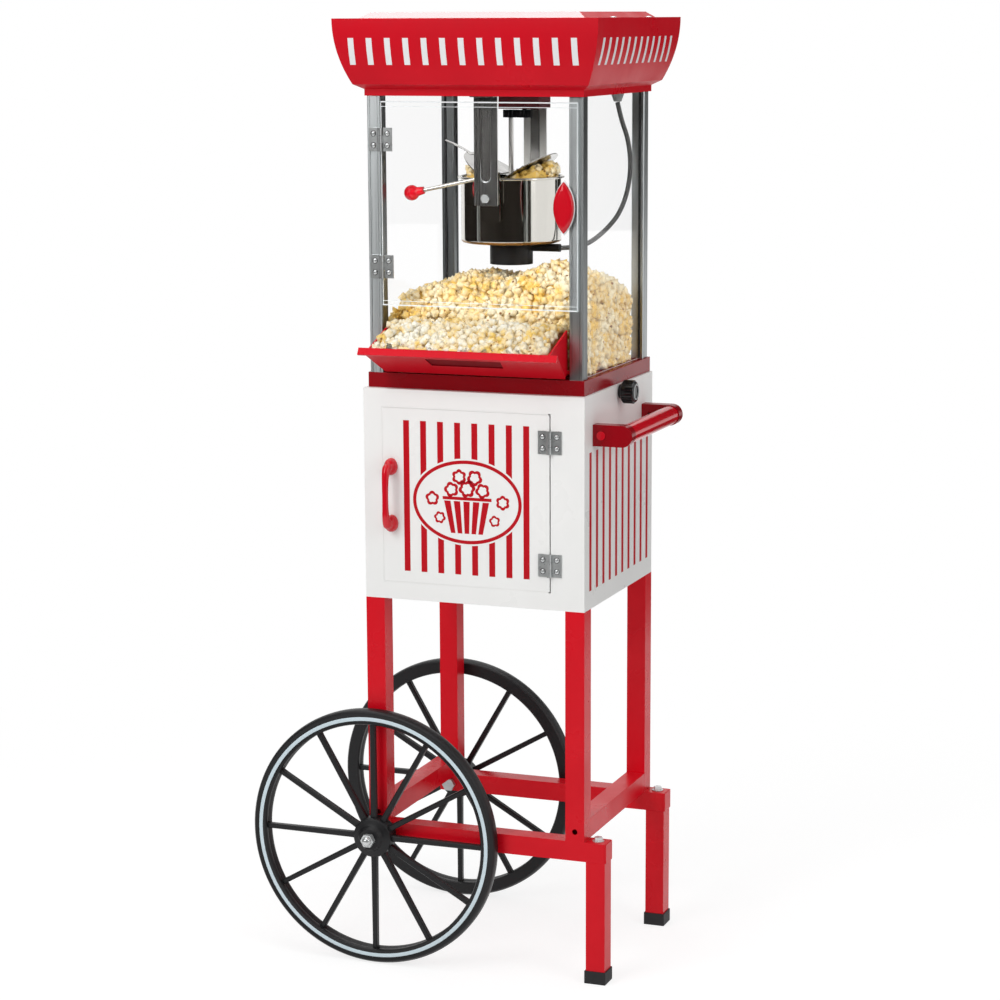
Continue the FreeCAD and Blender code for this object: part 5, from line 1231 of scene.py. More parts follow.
class DoorPullOperator(bpy.types.Operator):
    """Make the bulbous door pull"""
    bl_idname = "popcorn_cart.door_pull"
    bl_label = "Door pull"

    def execute(self, context):
        low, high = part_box("door_pull")
        middle = (low + high) / 2
        foot, steps = 11.0 * MM, 8
        out = low.y + 3.9 * MM
        # Half of the grip: depth, distance from its end and radius in mm at each place
        half = [(high.y - 10 * MM, foot, 6.0), (out + 5.0 * MM, foot + 1 * MM, 5.4), (out + 1.4 * MM, 21 * MM, 4.6),
                (out + 0.2 * MM, 34 * MM, 4.0)]
        corners = [(middle.x, depth, low.z + up) for depth, up, _ in half] + [(middle.x, out, middle.z)]
        corners += [(middle.x, depth, high.z - up) for depth, up, _ in reversed(half)]
        widths = [wide for _, _, wide in half]
        widths = widths + [3.8] + widths[::-1]
        line = curve_through(corners, steps)
        radii = []
        for at in range(len(line)):
            k = min(at // steps, len(widths) - 2)
            radii.append((widths[k] + (widths[k + 1] - widths[k]) * (at / steps - k)) * MM)
        work = bmesh.new()
        swept(work, line, radii, 24)
        dome = in_mm([(0.0, 0.0), (11.0, 0.0), (11.0, 2.0)])
        dome += [(11.0 * MM * math.cos(a), 2.0 * MM + 13.0 * MM * math.sin(a))
                 for a in (math.radians(angle) for angle in range(15, 91, 15))]
        for z in (low.z + foot, high.z - foot):
            place = along((middle.x, high.y, z), (0, -1, 0)) @ Matrix.Diagonal((8.4 / 11.0, 1.0, 1.0, 1.0))
            turned(work, dome, place, 32)
        pull = piece_of("door_pull_grip", work, "red_gloss", smooth=60.0)
        settle(pull, "cabinet_door", ["door_pull"], "red_plastic")
        return {"FINISHED"}


class PushHandleOperator(bpy.types.Operator):
    """Round the push handle and make the ribbed clamp knob"""
    bl_idname = "popcorn_cart.push_handle"
    bl_label = "Push handle and knob"

    def execute(self, context):
        # The handle brackets get the darker copy of the red moulding: painted shade.
        softened("handle_brackets", "deep_red", 3.4 * MM, 4, 50.0)
        finish_node("push_bar", "red_gloss")
        low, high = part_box("clamp_knob")
        middle = (low + high) / 2
        radius = (high.z - low.z) / 2
        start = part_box("cabinet_front_panel")[1].x + 0.4 * MM
        reach = high.x - start
        place = along((start, middle.y, middle.z), (1.0, 0.0, 0.0))
        profile = [(0.0, low.x - start), (3.9 * MM, low.x - start),
                   *in_mm([(3.9, 0.0), (9.0, 0.0), (9.0, 3.0), (11.6, 3.4)]),
                   (radius - 1.4 * MM, 5.0 * MM), (radius - 1.4 * MM, reach - 2.2 * MM),
                   (radius - 2.4 * MM, reach - 0.7 * MM), (radius - 4.2 * MM, reach), (8.4 * MM, reach - 0.2 * MM),
                   (7.6 * MM, reach - 1.2 * MM), (0.0, reach - 1.4 * MM)]
        knob = lathe("knob_body", profile, "black_gloss", place, 56, smooth=45.0)
        rib = bmesh.new()
        block(rib, (radius - 2.2 * MM, -0.95 * MM, 5.4 * MM), (radius, 0.95 * MM, reach - 2.6 * MM))
        bmesh.ops.bevel(rib, geom=rib.edges[:], offset=0.5 * MM, segments=2, affect="EDGES")
        ribs = grown(piece_of("knob_ribs", rib, "black_gloss"), round_tree(),
                     {"Count": trim().knob_ribs, "Material": finish_named("black_gloss")})
        ribs.data.transform(place)
        whole = joined("ribbed_knob", [knob, ribs], "black_gloss")
        smooth_below(whole.data, 40.0)
        settle(whole, "clamp_knob", ["clamp_knob"], "black_plastic")
        # Thin shiny ring on the knob's end face: painted highlight.
        band = [(wide * MM, reach - down * MM) for wide, down in ((8.8, 0.5), (10.6, 0.5), (10.6, 0.1), (8.8, 0.1))]
        settle(lathe("knob_bright_ring", band, "bright_nut", place, 48, True), "clamp_knob")
        return {"FINISHED"}


# Machine

def notched_outline(low, high, notches):
    """Corners of a rectangle, from above, with notches (side, place, width, depth) cut into its sides."""
    wide, deep = high[0] - low[0], high[1] - low[1]
    corner = 1.0 * MM
    outline = []
    for side, start, way, run in (("front", (low[0], low[1]), (1, 0), wide),
                                  ("right", (high[0], low[1]), (0, 1), deep),
                                  ("rear", (high[0], high[1]), (-1, 0), wide),
                                  ("left", (low[0], high[1]), (0, -1), deep)):
        start, way = Vector(start), Vector(way)
        inward = Vector((-way.y, way.x))
        outline.append(start + way * corner)
        cuts = sorted(((place - (start.x if way.x else start.y)) * (way.x or way.y), width, depth)
                      for which, place, width, depth in notches if which == side)
        for at, width, depth in cuts:
            near, far = start + way * (at - width / 2), start + way * (at + width / 2)
            outline += [near, near + inward * depth, far + inward * depth, far]
        outline.append(start + way * (run - corner))
    return outline


def post_piece(name, low, high, notches, finish):
    """Aluminium extrusion with fine lines and pane grooves."""
    work = bmesh.new()
    outline = notched_outline(low, high, notches)
    bridged(work, [[work.verts.new((point.x, point.y, z)) for point in outline] for z in (low[2], high[2])])
    return piece_of(name, work, finish, smooth=20.0)


def fine_lines(low, *faces):
    """Two fine lines down each of a post's faces."""
    return [(face, (low.x if face in ("front", "rear") else low.y) + POST_SIDE * share, 0.9 * MM, 0.6 * MM)
            for face in faces for share in (0.22, 0.78)]


class PostsOperator(bpy.types.Operator):
    """Make the four extruded corner posts"""
    bl_idname = "popcorn_cart.posts"
    bl_label = "Corner posts"

    def execute(self, context):
        groove = (3.2 * MM, 4.0 * MM)
        pane_y = middle_of("rear_window").y
        rear_low, rear_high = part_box("rear_posts")
        posts = []
        gaskets = bmesh.new()
        for side, inner in (("left", "right"), ("right", "left")):
            pane_x = middle_of(side + "_window").x
            low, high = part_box(side + "_front_post")
            # The left front post gets the lighter copy of the aluminium, painted light, and faces towards +X get the
            # darker copy, painted shade.
            item = post_piece(side + "_front_extrusion", low, high,
                              fine_lines(low, "front", side) + [("rear", pane_x, *groove)],
                              "bright_aluminium" if side == "left" else "drawn_aluminium")
            item.data.materials.append(finish_named("dull_aluminium"))
            for face in item.data.polygons:
                face.material_index = 1 if face.normal.x > 0.7 else 0
            settle(item, "cart", [side + "_front_post"], "aluminium")
            x = rear_low.x if side == "left" else rear_high.x - POST_SIDE
            low, high = Vector((x, *rear_low.yz)), Vector((x + POST_SIDE, *rear_high.yz))
            posts.append(post_piece(side + "_rear_extrusion", low, high, fine_lines(low, "rear", side)
                                    + [("front", pane_x, *groove), (inner, pane_y, *groove)], "drawn_aluminium"))
            foot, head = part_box(side + "_window")
            block(gaskets, (pane_x - 1.9 * MM, rear_low.y - 1.3 * MM, foot.z),
                  (pane_x + 1.9 * MM, rear_low.y - 0.1 * MM, head.z))
        settle(piece_of("pane_gaskets", gaskets, "rubber"), "cart", slot="black_rubber")
        # The left rear post gets the darker copy of the aluminium, painted shade.
        both = joined("rear_extrusions", posts, "dull_aluminium", "drawn_aluminium")
        smooth_below(both.data, 20.0)
        settle(both, "cart", ["rear_posts"], "aluminium")
        return {"FINISHED"}


def pane_piece(node):
    """Pane with slightly eased edges, whose whitish finish is a painted highlight."""
    work = merged_copy(node)
    item = rounded(piece_of(node + "_pane", work, "clear_acrylic", "acrylic_edge"),
                   0.8 * MM if node == "window_door" else 0.35 * MM, 2, even=False)
    low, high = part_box(node)
    thin = min(range(3), key=lambda axis: high[axis] - low[axis])
    for face in item.data.polygons:
        face.material_index = 0 if abs(face.normal[thin]) > 0.99 else 1
    item.data.shade_flat()
    settle(item, BODY_OF[node], [node], "acrylic")


class WindowsOperator(bpy.types.Operator):
    """Make the clear panes, the window door and its grip"""
    bl_idname = "popcorn_cart.windows"
    bl_label = "Windows"

    def execute(self, context):
        for node in ("left_window", "right_window", "rear_window", "window_door"):
            pane_piece(node)
        low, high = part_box("window_door")
        # Thin whitish bands along the window door's front edges: painted highlights.
        lines = bmesh.new()
        front, back = low.y - 0.15 * MM, low.y + 0.3 * MM
        for foot, head in ((0.0, 1.5), (5.6, 6.3), (246.2, 246.9), (251.5, 253.0)):
            block(lines, (low.x, front, low.z + foot * MM), (high.x, back, low.z + head * MM))
        for start, end in ((low.x, low.x + 0.5 * MM), (high.x - 0.6 * MM, high.x)):
            block(lines, (start, front, low.z), (end, back, high.z))
        settle(piece_of("window_door_edges", lines, "acrylic_edge"), "window_door", slot="acrylic")
        low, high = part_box("window_grip")
        middle = (low + high) / 2
        half = Vector(((high.x - low.x) / 2, 0.0, (high.z - low.z) / 2))
        lens = self.lens("window_grip_lens", middle, half, [
            (0.90, high.y), (0.93, high.y - 1.2 * MM), (0.93, low.y + 3.0 * MM), (0.84, low.y + 0.9 * MM),
            (0.62, low.y + 0.1 * MM), (0.3, low.y)], "red_gloss")
        settle(lens, "window_door", ["window_grip"], "red_plastic")
        # Whitish rim round the grip's lens: painted highlight.
        edge = self.lens("window_grip_edge", middle, half, [(0.9, high.y - 0.05 * MM), (1.0, high.y - 0.05 * MM),
                                                           (1.0, high.y - 0.9 * MM), (0.95, high.y - 1.3 * MM),
                                                           (0.9, high.y - 1.3 * MM)], "acrylic_edge")
        settle(edge, "window_door")
        return {"FINISHED"}

    def lens(self, name, middle, half, layers, finish):
        """Pointed oval in layers of (share of its size, depth), from the back to the front."""
        radius = (half.z ** 2 + half.x ** 2) / (2 * half.x)
        tip = math.asin(half.z / radius)
        work = bmesh.new()
        loops = []
        for grow, depth in layers:
            loop = []
            for way in (1.0, -1.0):
                for step in range(24):
                    angle = way * (-tip + 2 * tip * step / 24)
                    x = way * (radius * math.cos(angle) - radius + half.x) * grow
                    loop.append(work.verts.new((middle.x + x, depth, middle.z + radius * math.sin(angle) * grow)))
            loops.append(loop)
        bridged(work, loops)
        outward(work)
        return piece_of(name, work, finish, smooth=45.0)


def tray_place():
    """Matrix from a tray that stands shut on its pivot to the open tray."""
    return Matrix.Translation(joint_place("serving_tray_tilt")) @ Matrix.Rotation(TRAY_OPEN_ANGLE, 4, "X")


class BaseOperator(bpy.types.Operator):
    """Round the machine's base and the serving tray"""
    bl_idname = "popcorn_cart.base"
    bl_label = "Base and tray"

    def execute(self, context):
        # The base gets the darker copy of the red moulding: painted shade.
        softened("base_pan", "deep_red", trim().moulded_edge, 3)
        tray = softened("serving_tray", "red_moulding", 0.8 * MM, 2)
        # The floor of the tray's grip recess gets a darker copy of the red moulding: painted shade.
        tray.data.materials.append(finish_named("recess_red"))
        level = tray_place().inverted()
        for face in tray.data.polygons:
            spot = level @ face.center
            if -11.4 * MM < spot.y < -10.2 * MM and abs(spot.x) < 52 * MM and 30 * MM < spot.z < 54 * MM:
                face.material_index = 1
        return {"FINISHED"}


def flare_depth(height):
    """How far the canopy's flare stands in from its rim at a height."""
    radius, rim_top = 180.0 * MM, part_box("canopy")[1].z - 7.0 * MM
    return radius - math.sqrt(max(radius ** 2 - (rim_top - height) ** 2, 0.0))


def canopy_stripe(width, low, high, film):
    """One stripe that follows the flare, about X = 0, with the rim at Y = 0 and outside towards -Y."""
    work = bmesh.new()
    half, sunk = width / 2, -0.4 * MM
    bridged(work, [[work.verts.new((x, flare_depth(z) - out, z))
                    for x, out in ((-half, sunk), (-half, film), (half, film), (half, sunk))]
                   for z in steps_between(low, high, 11)])
    outward(work)
    return piece_of("canopy_stripe", work, "stripe_white")


def cleared(mesh, low, high):
    """Drop the stripes that would lie under the switch's boss."""
    work = bmesh.new()
    work.from_mesh(mesh)
    under = [face for face in work.faces if low < face.calc_center_median().x < high]
    bmesh.ops.delete(work, geom=under, context="FACES")
    work.to_mesh(mesh)
    work.free()


BOSS_LEFT, BOSS_RIGHT = -52.0 * MM, 46.5 * MM
STRIPE_SHIFT = -3.4 * MM
LEDGE_DROP, SCREW_INSET, SCREW_PLACES = 5.6 * MM, 13 * MM, (-70 * MM, 70 * MM)


class CanopyOperator(bpy.types.Operator):
    """Round the canopy, paint its stripes and set the screws on its top"""
    bl_idname = "popcorn_cart.canopy"
    bl_label = "Canopy"

    def execute(self, context):
        sizes = trim()
        canopy = softened("canopy", "red_moulding", sizes.moulded_edge, 3, 25.0)
        canopy.data.materials.append(finish_named("red_sheen"))
        canopy.data.materials.append(finish_named("red_gloss"))
        for face in canopy.data.polygons:
            roof = face.normal.z > 0.6 and face.normal.x < 0.3 and face.center.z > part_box("canopy")[1].z - 30 * MM
            face.material_index = (2 if face.normal.z > 0.97 else 1) if roof else 0
        softened("ceiling_plate", "satin_steel", sizes.small_edge)
        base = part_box("base_pan")
        middle = Vector(((base[0].x + base[1].x) / 2, (base[0].y + base[1].y) / 2, 0.0))
        low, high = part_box("canopy")
        half_x = (high.x - low.x) / 2
        half_y = middle.y - low.y
        rows = []
        for turn in (0.0, 90.0, 180.0, 270.0):
            ends = turn in (90.0, 270.0)
            reach, number = (half_x, sizes.canopy_stripes_side) if ends else (half_y, sizes.canopy_stripes_front)
            stripe = canopy_stripe(sizes.canopy_stripe_width, sizes.canopy_stripe_low, sizes.canopy_stripe_high,
                                   sizes.film)
            row = grown(stripe, row_tree(), {"Count": number, "Step": (sizes.canopy_stripe_pitch, 0.0, 0.0),
                                             "Material": finish_named("stripe_white")})
            start = Vector((-sizes.canopy_stripe_pitch * (number - 1) / 2 + STRIPE_SHIFT, -reach, 0.0))
            row.data.transform(Matrix.Translation(middle) @ Matrix.Rotation(math.radians(turn), 4, "Z")
                               @ Matrix.Translation(start))
            if turn == 180.0:
                cleared(row.data, middle.x + BOSS_LEFT, middle.x + BOSS_RIGHT)
            rows.append(row)
        settle(joined("canopy_stripes", rows, "stripe_white"), "cart")
        spots = [(x, middle.y + y, high.z - LEDGE_DROP) for x in (low.x + SCREW_INSET, high.x - SCREW_INSET)
                 for y in SCREW_PLACES]
        head = lathe("canopy_screw", in_mm([(0.0, -1.6), (4.0, -1.6), (4.0, -1.0), (3.2, -0.3), (1.6, 0.0),
                                            (1.1, -0.6), (0.0, -0.7)]), "bright_nut", steps=16)
        settle(on_spots("canopy_screws", spots, head, "bright_nut"), "cart")
        softened("power_switch", "black_moulding", sizes.sheet_edge)
        softened("cord_gland", "black_moulding", sizes.small_edge)
        return {"FINISHED"}


# Kettle

def kettle_rim():
    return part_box("kettle_base")[1].z + KETTLE_DEPTH


class KettleOperator(bpy.types.Operator):
    """Dress the kettle, its hangers, lids, handle and drive"""
    bl_idname = "popcorn_cart.kettle"
    bl_label = "Kettle"

    def execute(self, context):
        sizes = trim()
        self.pot(sizes)
        softened("kettle_base", "black_moulding", 1.2 * MM, 3, 50.0)
        self.hangers(sizes)
        softened("left_lid", "lid_steel", 0.25 * MM)
        softened("right_lid", "lid_steel", 0.25 * MM)
        softened("motor_cover", "dark_red", sizes.moulded_edge)
        softened("pivot_bolts", "bright_nut", sizes.small_edge)
        softened("agitator", "satin_steel", 0.3 * MM)
        softened("agitator_gear", "black_moulding", 0.25 * MM)
        softened("motor_pinion", "black_moulding", 0.25 * MM)
        finish_node("kettle_handle", "polished_steel")
        finish_node("handle_ball", "red_gloss")
        finish_node("heating_element", "satin_steel")
        softened("agitator_motor", "motor_case", 1.0 * MM)
        self.rings()
        self.slot_plates()
        self.lid_tab()
        return {"FINISHED"}

    def pot(self, sizes):
        """Kettle with a well rounded bottom edge."""
        work = merged_copy("kettle")
        axis = middle_of("agitator")
        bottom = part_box("kettle")[0].z
        edges = [edge for edge in work.edges
                 if all(abs(end.co.z - bottom) < 0.1 * MM and
                        abs((end.co.xy - axis.xy).length - 64.0 * MM) < 0.3 * MM for end in edge.verts)]
        bmesh.ops.bevel(work, geom=edges, offset=5.0 * MM, segments=5, profile=0.5, affect="EDGES")
        item = rounded(piece_of("kettle_looks", work, "polished_steel"), sizes.small_edge, 2, 50.0)
        settle(item, "kettle", ["kettle"], SLOT_OF["kettle"])

    def hangers(self, sizes):
        """Hanger plates whose outer faces get a darker copy of the steel: painted dark reflection."""
        plates = softened("kettle_hangers", "satin_steel", sizes.small_edge)
        plates.data.materials.append(finish_named("hanger_steel"))
        middle = sum(corner.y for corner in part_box("kettle_hangers")) / 2
        for face in plates.data.polygons:
            outward = face.normal.y if face.center.y > middle else -face.normal.y
            face.material_index = 1 if outward > 0.7 else 0

    def slot_plates(self):
        """Pressed plate that closes each hanger's slot, in a lighter copy of the steel that is painted light, and a
        thin shiny tube round the slot's foot that is a painted highlight.
        """
        low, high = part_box("kettle_hangers")
        middle = (low.x + high.x) / 2
        work = bmesh.new()
        for near in (low.y + 15.1 * MM, high.y - 14.9 * MM):
            block(work, (middle - 6.5 * MM, near, low.z + 29 * MM),
                  (middle + 6.5 * MM, near + 0.8 * MM, high.z - 18 * MM))
        settle(piece_of("hanger_backing", work, "slot_steel"), "cart", slot="brushed_steel")
        # Thin shiny tube round the foot of each slot, thickest at its bottom: a painted highlight.
        work = bmesh.new()
        slot_half = 6.9 * MM
        for near in (low.y + 14.0 * MM, high.y - 16.0 * MM):
            end = Vector((middle, near, low.z + 36.0 * MM))
            line = [end + Vector((-slot_half, 0.0, 20 * MM))]
            line += [end + Vector((math.cos(turn), 0.0, math.sin(turn))) * slot_half
                     for turn in steps_between(math.pi, 2 * math.pi, 17)]
            line.append(end + Vector((slot_half, 0.0, 20 * MM)))
            radii = [0.15 * MM] + [(0.3 + 0.75 * math.sin(math.pi * share)) * MM for share in steps_between(0, 1, 17)]
            swept(work, line, radii + [0.15 * MM], 8)
        outward(work)
        settle(piece_of("hanger_groove_edge", work, "bright_nut"), "cart", slot="brushed_steel")

    def lid_tab(self):
        """Lifting tab on the left lid."""
        hinge = joint_place("left_lid_flap")
        work = bmesh.new()
        rows = []
        for x, z, wide in ((-40.0, 24.0, 4.6), (-46.5, 28.0, 4.6), (-53.0, 31.6, 4.6), (-65.0, 37.2, 4.6),
                           (-77.0, 42.0, 3.0)):
            rows.append([work.verts.new(hinge + Vector((x, y, z + up)) * MM)
                         for y, up in ((-wide, -0.5), (wide, -0.5), (wide, 0.5), (-wide, 0.5))])
        bridged(work, rows)
        outward(work)
        tab = rounded(piece_of("left_lid_tab", work, "lid_steel"), 0.3 * MM)
        settle(tab, "left_lid", slot="brushed_steel")

    def rings(self):
        """Rolled bead at the rim and a golden ring at the bottom."""
        axis = middle_of("agitator").xy
        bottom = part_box("kettle_base")[1].z
        bead = lathe("kettle_rim_bead", [(67.0 * MM + 1.5 * MM * math.cos(a), 1.5 * MM * math.sin(a))
                                         for a in round_angles(12)], "polished_steel",
                     Matrix.Translation((*axis, kettle_rim() - 0.6 * MM)), 96, True, 60.0)
        settle(bead, "kettle", slot="mirror_steel")
        edge = in_mm([(29.0, -0.5), (59.0, -0.5), (61.75, 0.24), (63.2, 1.46), (64.0, 2.7), (63.4, 2.93),
                      (61.45, 0.76), (59.0, 0.1), (29.0, 0.1)])
        foot = lathe("kettle_heat_ring", edge, "heat_tint", Matrix.Translation((*axis, bottom)), 96, True, 50.0)
        settle(foot, "kettle", slot="mirror_steel")


# Popcorn

def puff_templates(size):
    """A few popped kernels, each a small heart with six crisp lobes, in a collection of their own."""
    collection = bpy.data.collections.new("puff_templates")
    draw = random.Random(11)
    for number in range(8):
        work = bmesh.new()
        depth = work.verts.layers.float.new("puff_lobe")
        lobes = [(Vector((0.0, 0.0, 0.0)), 0.31, 20)]
        turn = draw.uniform(0.0, 6.28)
        for at in range(6):
            height = -0.8 + 1.6 * (at + draw.uniform(0.1, 0.9)) / 6
            angle = turn + 2.4 * at + draw.uniform(-0.4, 0.4)
            flat = math.sqrt(1.0 - height * height)
            away = Vector((flat * math.cos(angle), flat * math.sin(angle), height))
            lobes.append((away * draw.uniform(0.22, 0.33), draw.uniform(0.22, 0.33), 8))
        for centre, reach, faces in lobes:
            spin = Euler([draw.uniform(0.0, 3.14) for _ in range(3)]).to_matrix().to_4x4()
            place = Matrix.Translation(centre * size) @ spin
            if faces == 20:
                made = bmesh.ops.create_icosphere(work, subdivisions=1, radius=reach * size, matrix=place)["verts"]
            else:
                made = [work.verts.new(place @ (Vector(tip) * reach * size * draw.uniform(0.85, 1.15)))
                        for tip in ((1, 0, 0), (0, 1, 0), (-1, 0, 0), (0, -1, 0), (0, 0, 1), (0, 0, -1))]
                for side in range(4):
                    work.faces.new((made[side], made[(side + 1) % 4], made[4]))
                    work.faces.new((made[(side + 1) % 4], made[side], made[5]))
            # How far each corner lies from the puff's middle; the material butters the heart by it, partly as painted
            # shade.
            for vertex in made:
                vertex[depth] = min(1.0, vertex.co.length / (0.5 * size))
        mesh = bpy.data.meshes.new("puff_%d" % number)
        work.to_mesh(mesh)
        work.free()
        mesh.materials.append(finish_named("puff"))
        mesh.shade_smooth()
        collection.objects.link(bpy.data.objects.new("puff_%d" % number, mesh))
    return collection


def drop_templates(collection):
    for item in list(collection.objects):
        drop(item)
    bpy.data.collections.remove(collection)


def heap_grid(name, columns, rows, top, bottom, sides):
    """Closed heap over columns and rows of places, and the open skin on which its puffs lie."""
    work = bmesh.new()
    upper = [[work.verts.new(top(x, y)) for x in columns] for y in rows]
    lower = [[work.verts.new(bottom(x, y)) for x in columns] for y in rows]
    skin = []
    for j in range(len(rows) - 1):
        for i in range(len(columns) - 1):
            skin.append(work.faces.new((upper[j][i], upper[j][i + 1], upper[j + 1][i + 1], upper[j + 1][i])))
            work.faces.new((lower[j][i], lower[j + 1][i], lower[j + 1][i + 1], lower[j][i + 1]))
    rim = [(0, i) for i in range(len(columns))] + [(j, len(columns) - 1) for j in range(1, len(rows))]
    rim += [(len(rows) - 1, i) for i in range(len(columns) - 2, -1, -1)]
    rim += [(j, 0) for j in range(len(rows) - 2, 0, -1)]
    for (j, i), (q, p) in zip(rim, rim[1:] + rim[:1]):
        wall = work.faces.new((lower[j][i], lower[q][p], upper[q][p], upper[j][i]))
        if sides:
            skin.append(wall)
    outward(work)
    covered = bmesh.new()
    for face in skin:
        covered.faces.new([covered.verts.new(vertex.co) for vertex in face.verts])
    return piece_of(name, work, "puff", smooth=60.0), piece_of(name + "_skin", covered, "puff")


# Gaps that the puffs keep to the floor and to the panes
FLOOR_GAP, PANE_GAP = 0.3 * MM, 0.6 * MM
# Heap in the chamber: level of its edge, height of its crown and level behind the tray
HEAP_EDGE, HEAP_CROWN, HEAP_SILL = 0.813, 0.088, 0.826
# Room that the heap leaves: the kettle's swing and half width, and beside, past and under its handle's ball
KETTLE_SWING, KETTLE_HALF = 96.0 * MM, 66.0 * MM
BALL_SIDE, BALL_PAST, BALL_UNDER = 7 * MM, 36 * MM, 1.5 * MM
# Half width between the places of the closed tray's cheeks
CHEEK = 115.0 * MM


def popcorn_piece(name, under, skin, templates, settings, body, seed, limit, fold=None):
    """Scatter puffs over a skin, press them back inside a limit, and let them and the heap ride and settle."""
    grown(skin, scatter_tree(), {"Puffs": templates, "Spacing": settings.spacing, "Seed": seed,
                                 "Material": finish_named("puff")})
    for vertex in skin.data.vertices:
        vertex.co = limit(vertex.co.copy())
    skin.name = name
    skin.data.name = name
    for item in (under, skin):
        settle(item, body)
        if fold:
            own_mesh(item)


def between(value, low, high):
    return min(max(value, low), high)


def eased(share):
    share = between(share, 0.0, 1.0)
    return share * share * (3.0 - 2.0 * share)


class PopcornOperator(bpy.types.Operator):
    """Fill the chamber, the tray and the kettle with popcorn"""
    bl_idname = "popcorn_cart.popcorn"
    bl_label = "Popcorn"

    def execute(self, context):
        settings = context.scene.cart_popcorn
        templates = puff_templates(settings.puff)
        self.fill_chamber(templates, settings)
        self.fill_tray(templates, settings)
        self.fill_kettle(templates, settings)
        drop_templates(templates)
        return {"FINISHED"}

    def fill_chamber(self, templates, settings):
        """Heap that leaves room for the tipping kettle and the closing tray."""
        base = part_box("base_pan")
        floor, middle = base[1].z, (base[0] + base[1]) / 2
        left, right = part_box("left_window")[1].x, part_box("right_window")[0].x
        front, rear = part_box("left_front_post")[1].y + 1 * MM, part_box("rear_window")[0].y
        post_left, post_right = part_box("left_front_post")[1].x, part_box("right_front_post")[0].x
        rear_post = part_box("rear_posts")[0].y
        inset = 9.0 * MM
        pivot = joint_place("kettle_tip")
        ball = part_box("handle_ball")

        def room(x, y):
            """Height under the tipping kettle and the ball of its handle."""
            reach = KETTLE_SWING
            if ball[0].y - BALL_SIDE < y < ball[1].y + BALL_SIDE and x < pivot.x + BALL_PAST:
                reach = pivot.x - ball[0].x + BALL_UNDER
            beside = max(0.0, reach ** 2 - (x - pivot.x) ** 2)
            return pivot.z - math.sqrt(beside) + 0.2 * max(0.0, abs(y - pivot.y) - KETTLE_HALF)

        def half_width(y):
            full = (right - left) / 2 - inset
            near_front = eased((y - front - 30 * MM) / (20 * MM))
            near_rear = eased((rear_post - y - inset) / (14 * MM))
            narrow = CHEEK - inset
            return narrow + (full - narrow) * near_front - (1 - near_rear) * 14 * MM

        def place_x(x, y):
            centre = (left + right) / 2
            return centre + (x - centre) / ((right - left) / 2) * half_width(y)

        def top(x, y):
            x = place_x(x, y)
            u, v = (x - middle.x) / 0.123, (y - middle.y) / 0.120
            rise = HEAP_CROWN * math.exp(-((u - 0.25) ** 2 / 2.2 + (v + 0.15) ** 2 / 1.9))
            rise += 0.014 * math.exp(-((u - 1.1) ** 2 / 0.3 + (v + 0.6) ** 2 / 0.3))
            height = HEAP_EDGE + rise + 0.006 * noise.noise(Vector((x * 24.0, y * 24.0, 0.3)))
            height = min(height, room(x, y) - 16 * MM)
            return (x, y, HEAP_SILL + (height - HEAP_SILL) * eased((y - front) / 0.045))

        def limit(spot):
            spot.y = between(spot.y, front, rear - PANE_GAP)
            beside_post = spot.y > rear_post - 1 * MM
            low_x = (post_left if beside_post else left) + PANE_GAP
            high_x = (post_right if beside_post else right) - PANE_GAP
            if spot.y < front + 38 * MM:
                low_x, high_x = middle.x - CHEEK, middle.x + CHEEK
            spot.x = between(spot.x, low_x, high_x)
            spot.z = max(floor + FLOOR_GAP, min(spot.z, room(spot.x, spot.y)))
            return spot

        under, skin = heap_grid("chamber_heap", steps_between(left, right, 30),
                                steps_between(front + inset, rear - inset, 28), top,
                                lambda x, y: (place_x(x, y), y, floor + 1 * MM), True)
        popcorn_piece("chamber_popcorn", under, skin, templates, settings, "cart", settings.seed, limit)
        for number, way in enumerate((-1, 1)):
            start = (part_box("right_front_post")[1].y + 1 * MM) if way > 0 else front
            self.fill_side(templates, settings, number, way, (start, front + 40 * MM), middle.x, floor)

    def fill_side(self, templates, settings, number, way, depth, middle, floor):
        """Corn between a pane and the place of the tray's cheek."""
        inner, outer = 121.0 * MM, 132.7 * MM
        name = "left_side" if way < 0 else "right_side"

        def top(x, y):
            share = (y - depth[0]) / (depth[1] - depth[0])
            return (middle + way * x, y, 0.829 + 0.012 * share + 0.003 * noise.noise(Vector((x * 90, y * 90, 0))))

        def limit(spot):
            reach = between((spot.x - middle) * way, inner, outer)
            return Vector((middle + way * reach, between(spot.y, *depth), max(spot.z, floor + FLOOR_GAP)))

        under, skin = heap_grid(name + "_heap", steps_between(inner + 4 * MM, outer - 4 * MM, 3),
                                steps_between(depth[0] + 5 * MM, depth[1] - 1 * MM, 8), top,
                                lambda x, y: (middle + way * x, y, floor + 1 * MM), True)
        popcorn_piece(name + "_popcorn", under, skin, templates, settings, "cart", settings.seed + 3 + number, limit)

    def fill_tray(self, templates, settings):
        """Layer on the tray's inner face that clears the heap when the tray closes."""
        tilted = tray_place()
        level = tilted.inverted()
        half, face = 108.0 * MM, -9.5 * MM
        foot, head = 20.0 * MM, 71.0 * MM

        def on_tray(x, reach, lift):
            return tilted @ Vector((x, lift, reach))

        def before_heap(reach):
            """Lift at which the closing tray's corn would meet the heap."""
            return 18.0 * MM + 1.732 * reach

        def level_of(reach):
            """Level of the full tray over its inner face, behind the lip and in front of the heap."""
            return min(75.9 * MM - 0.857 * reach, before_heap(reach))

        def top(x, reach):
            bumps = 2.5 * MM * noise.noise(Vector((x * 30, reach * 30, 1.0)))
            low = 9.0 * MM + 13.0 * MM * eased((reach - 48 * MM) / (24 * MM))
            return on_tray(x, reach, max(face + 2.4 * MM, level_of(reach) - low + bumps))

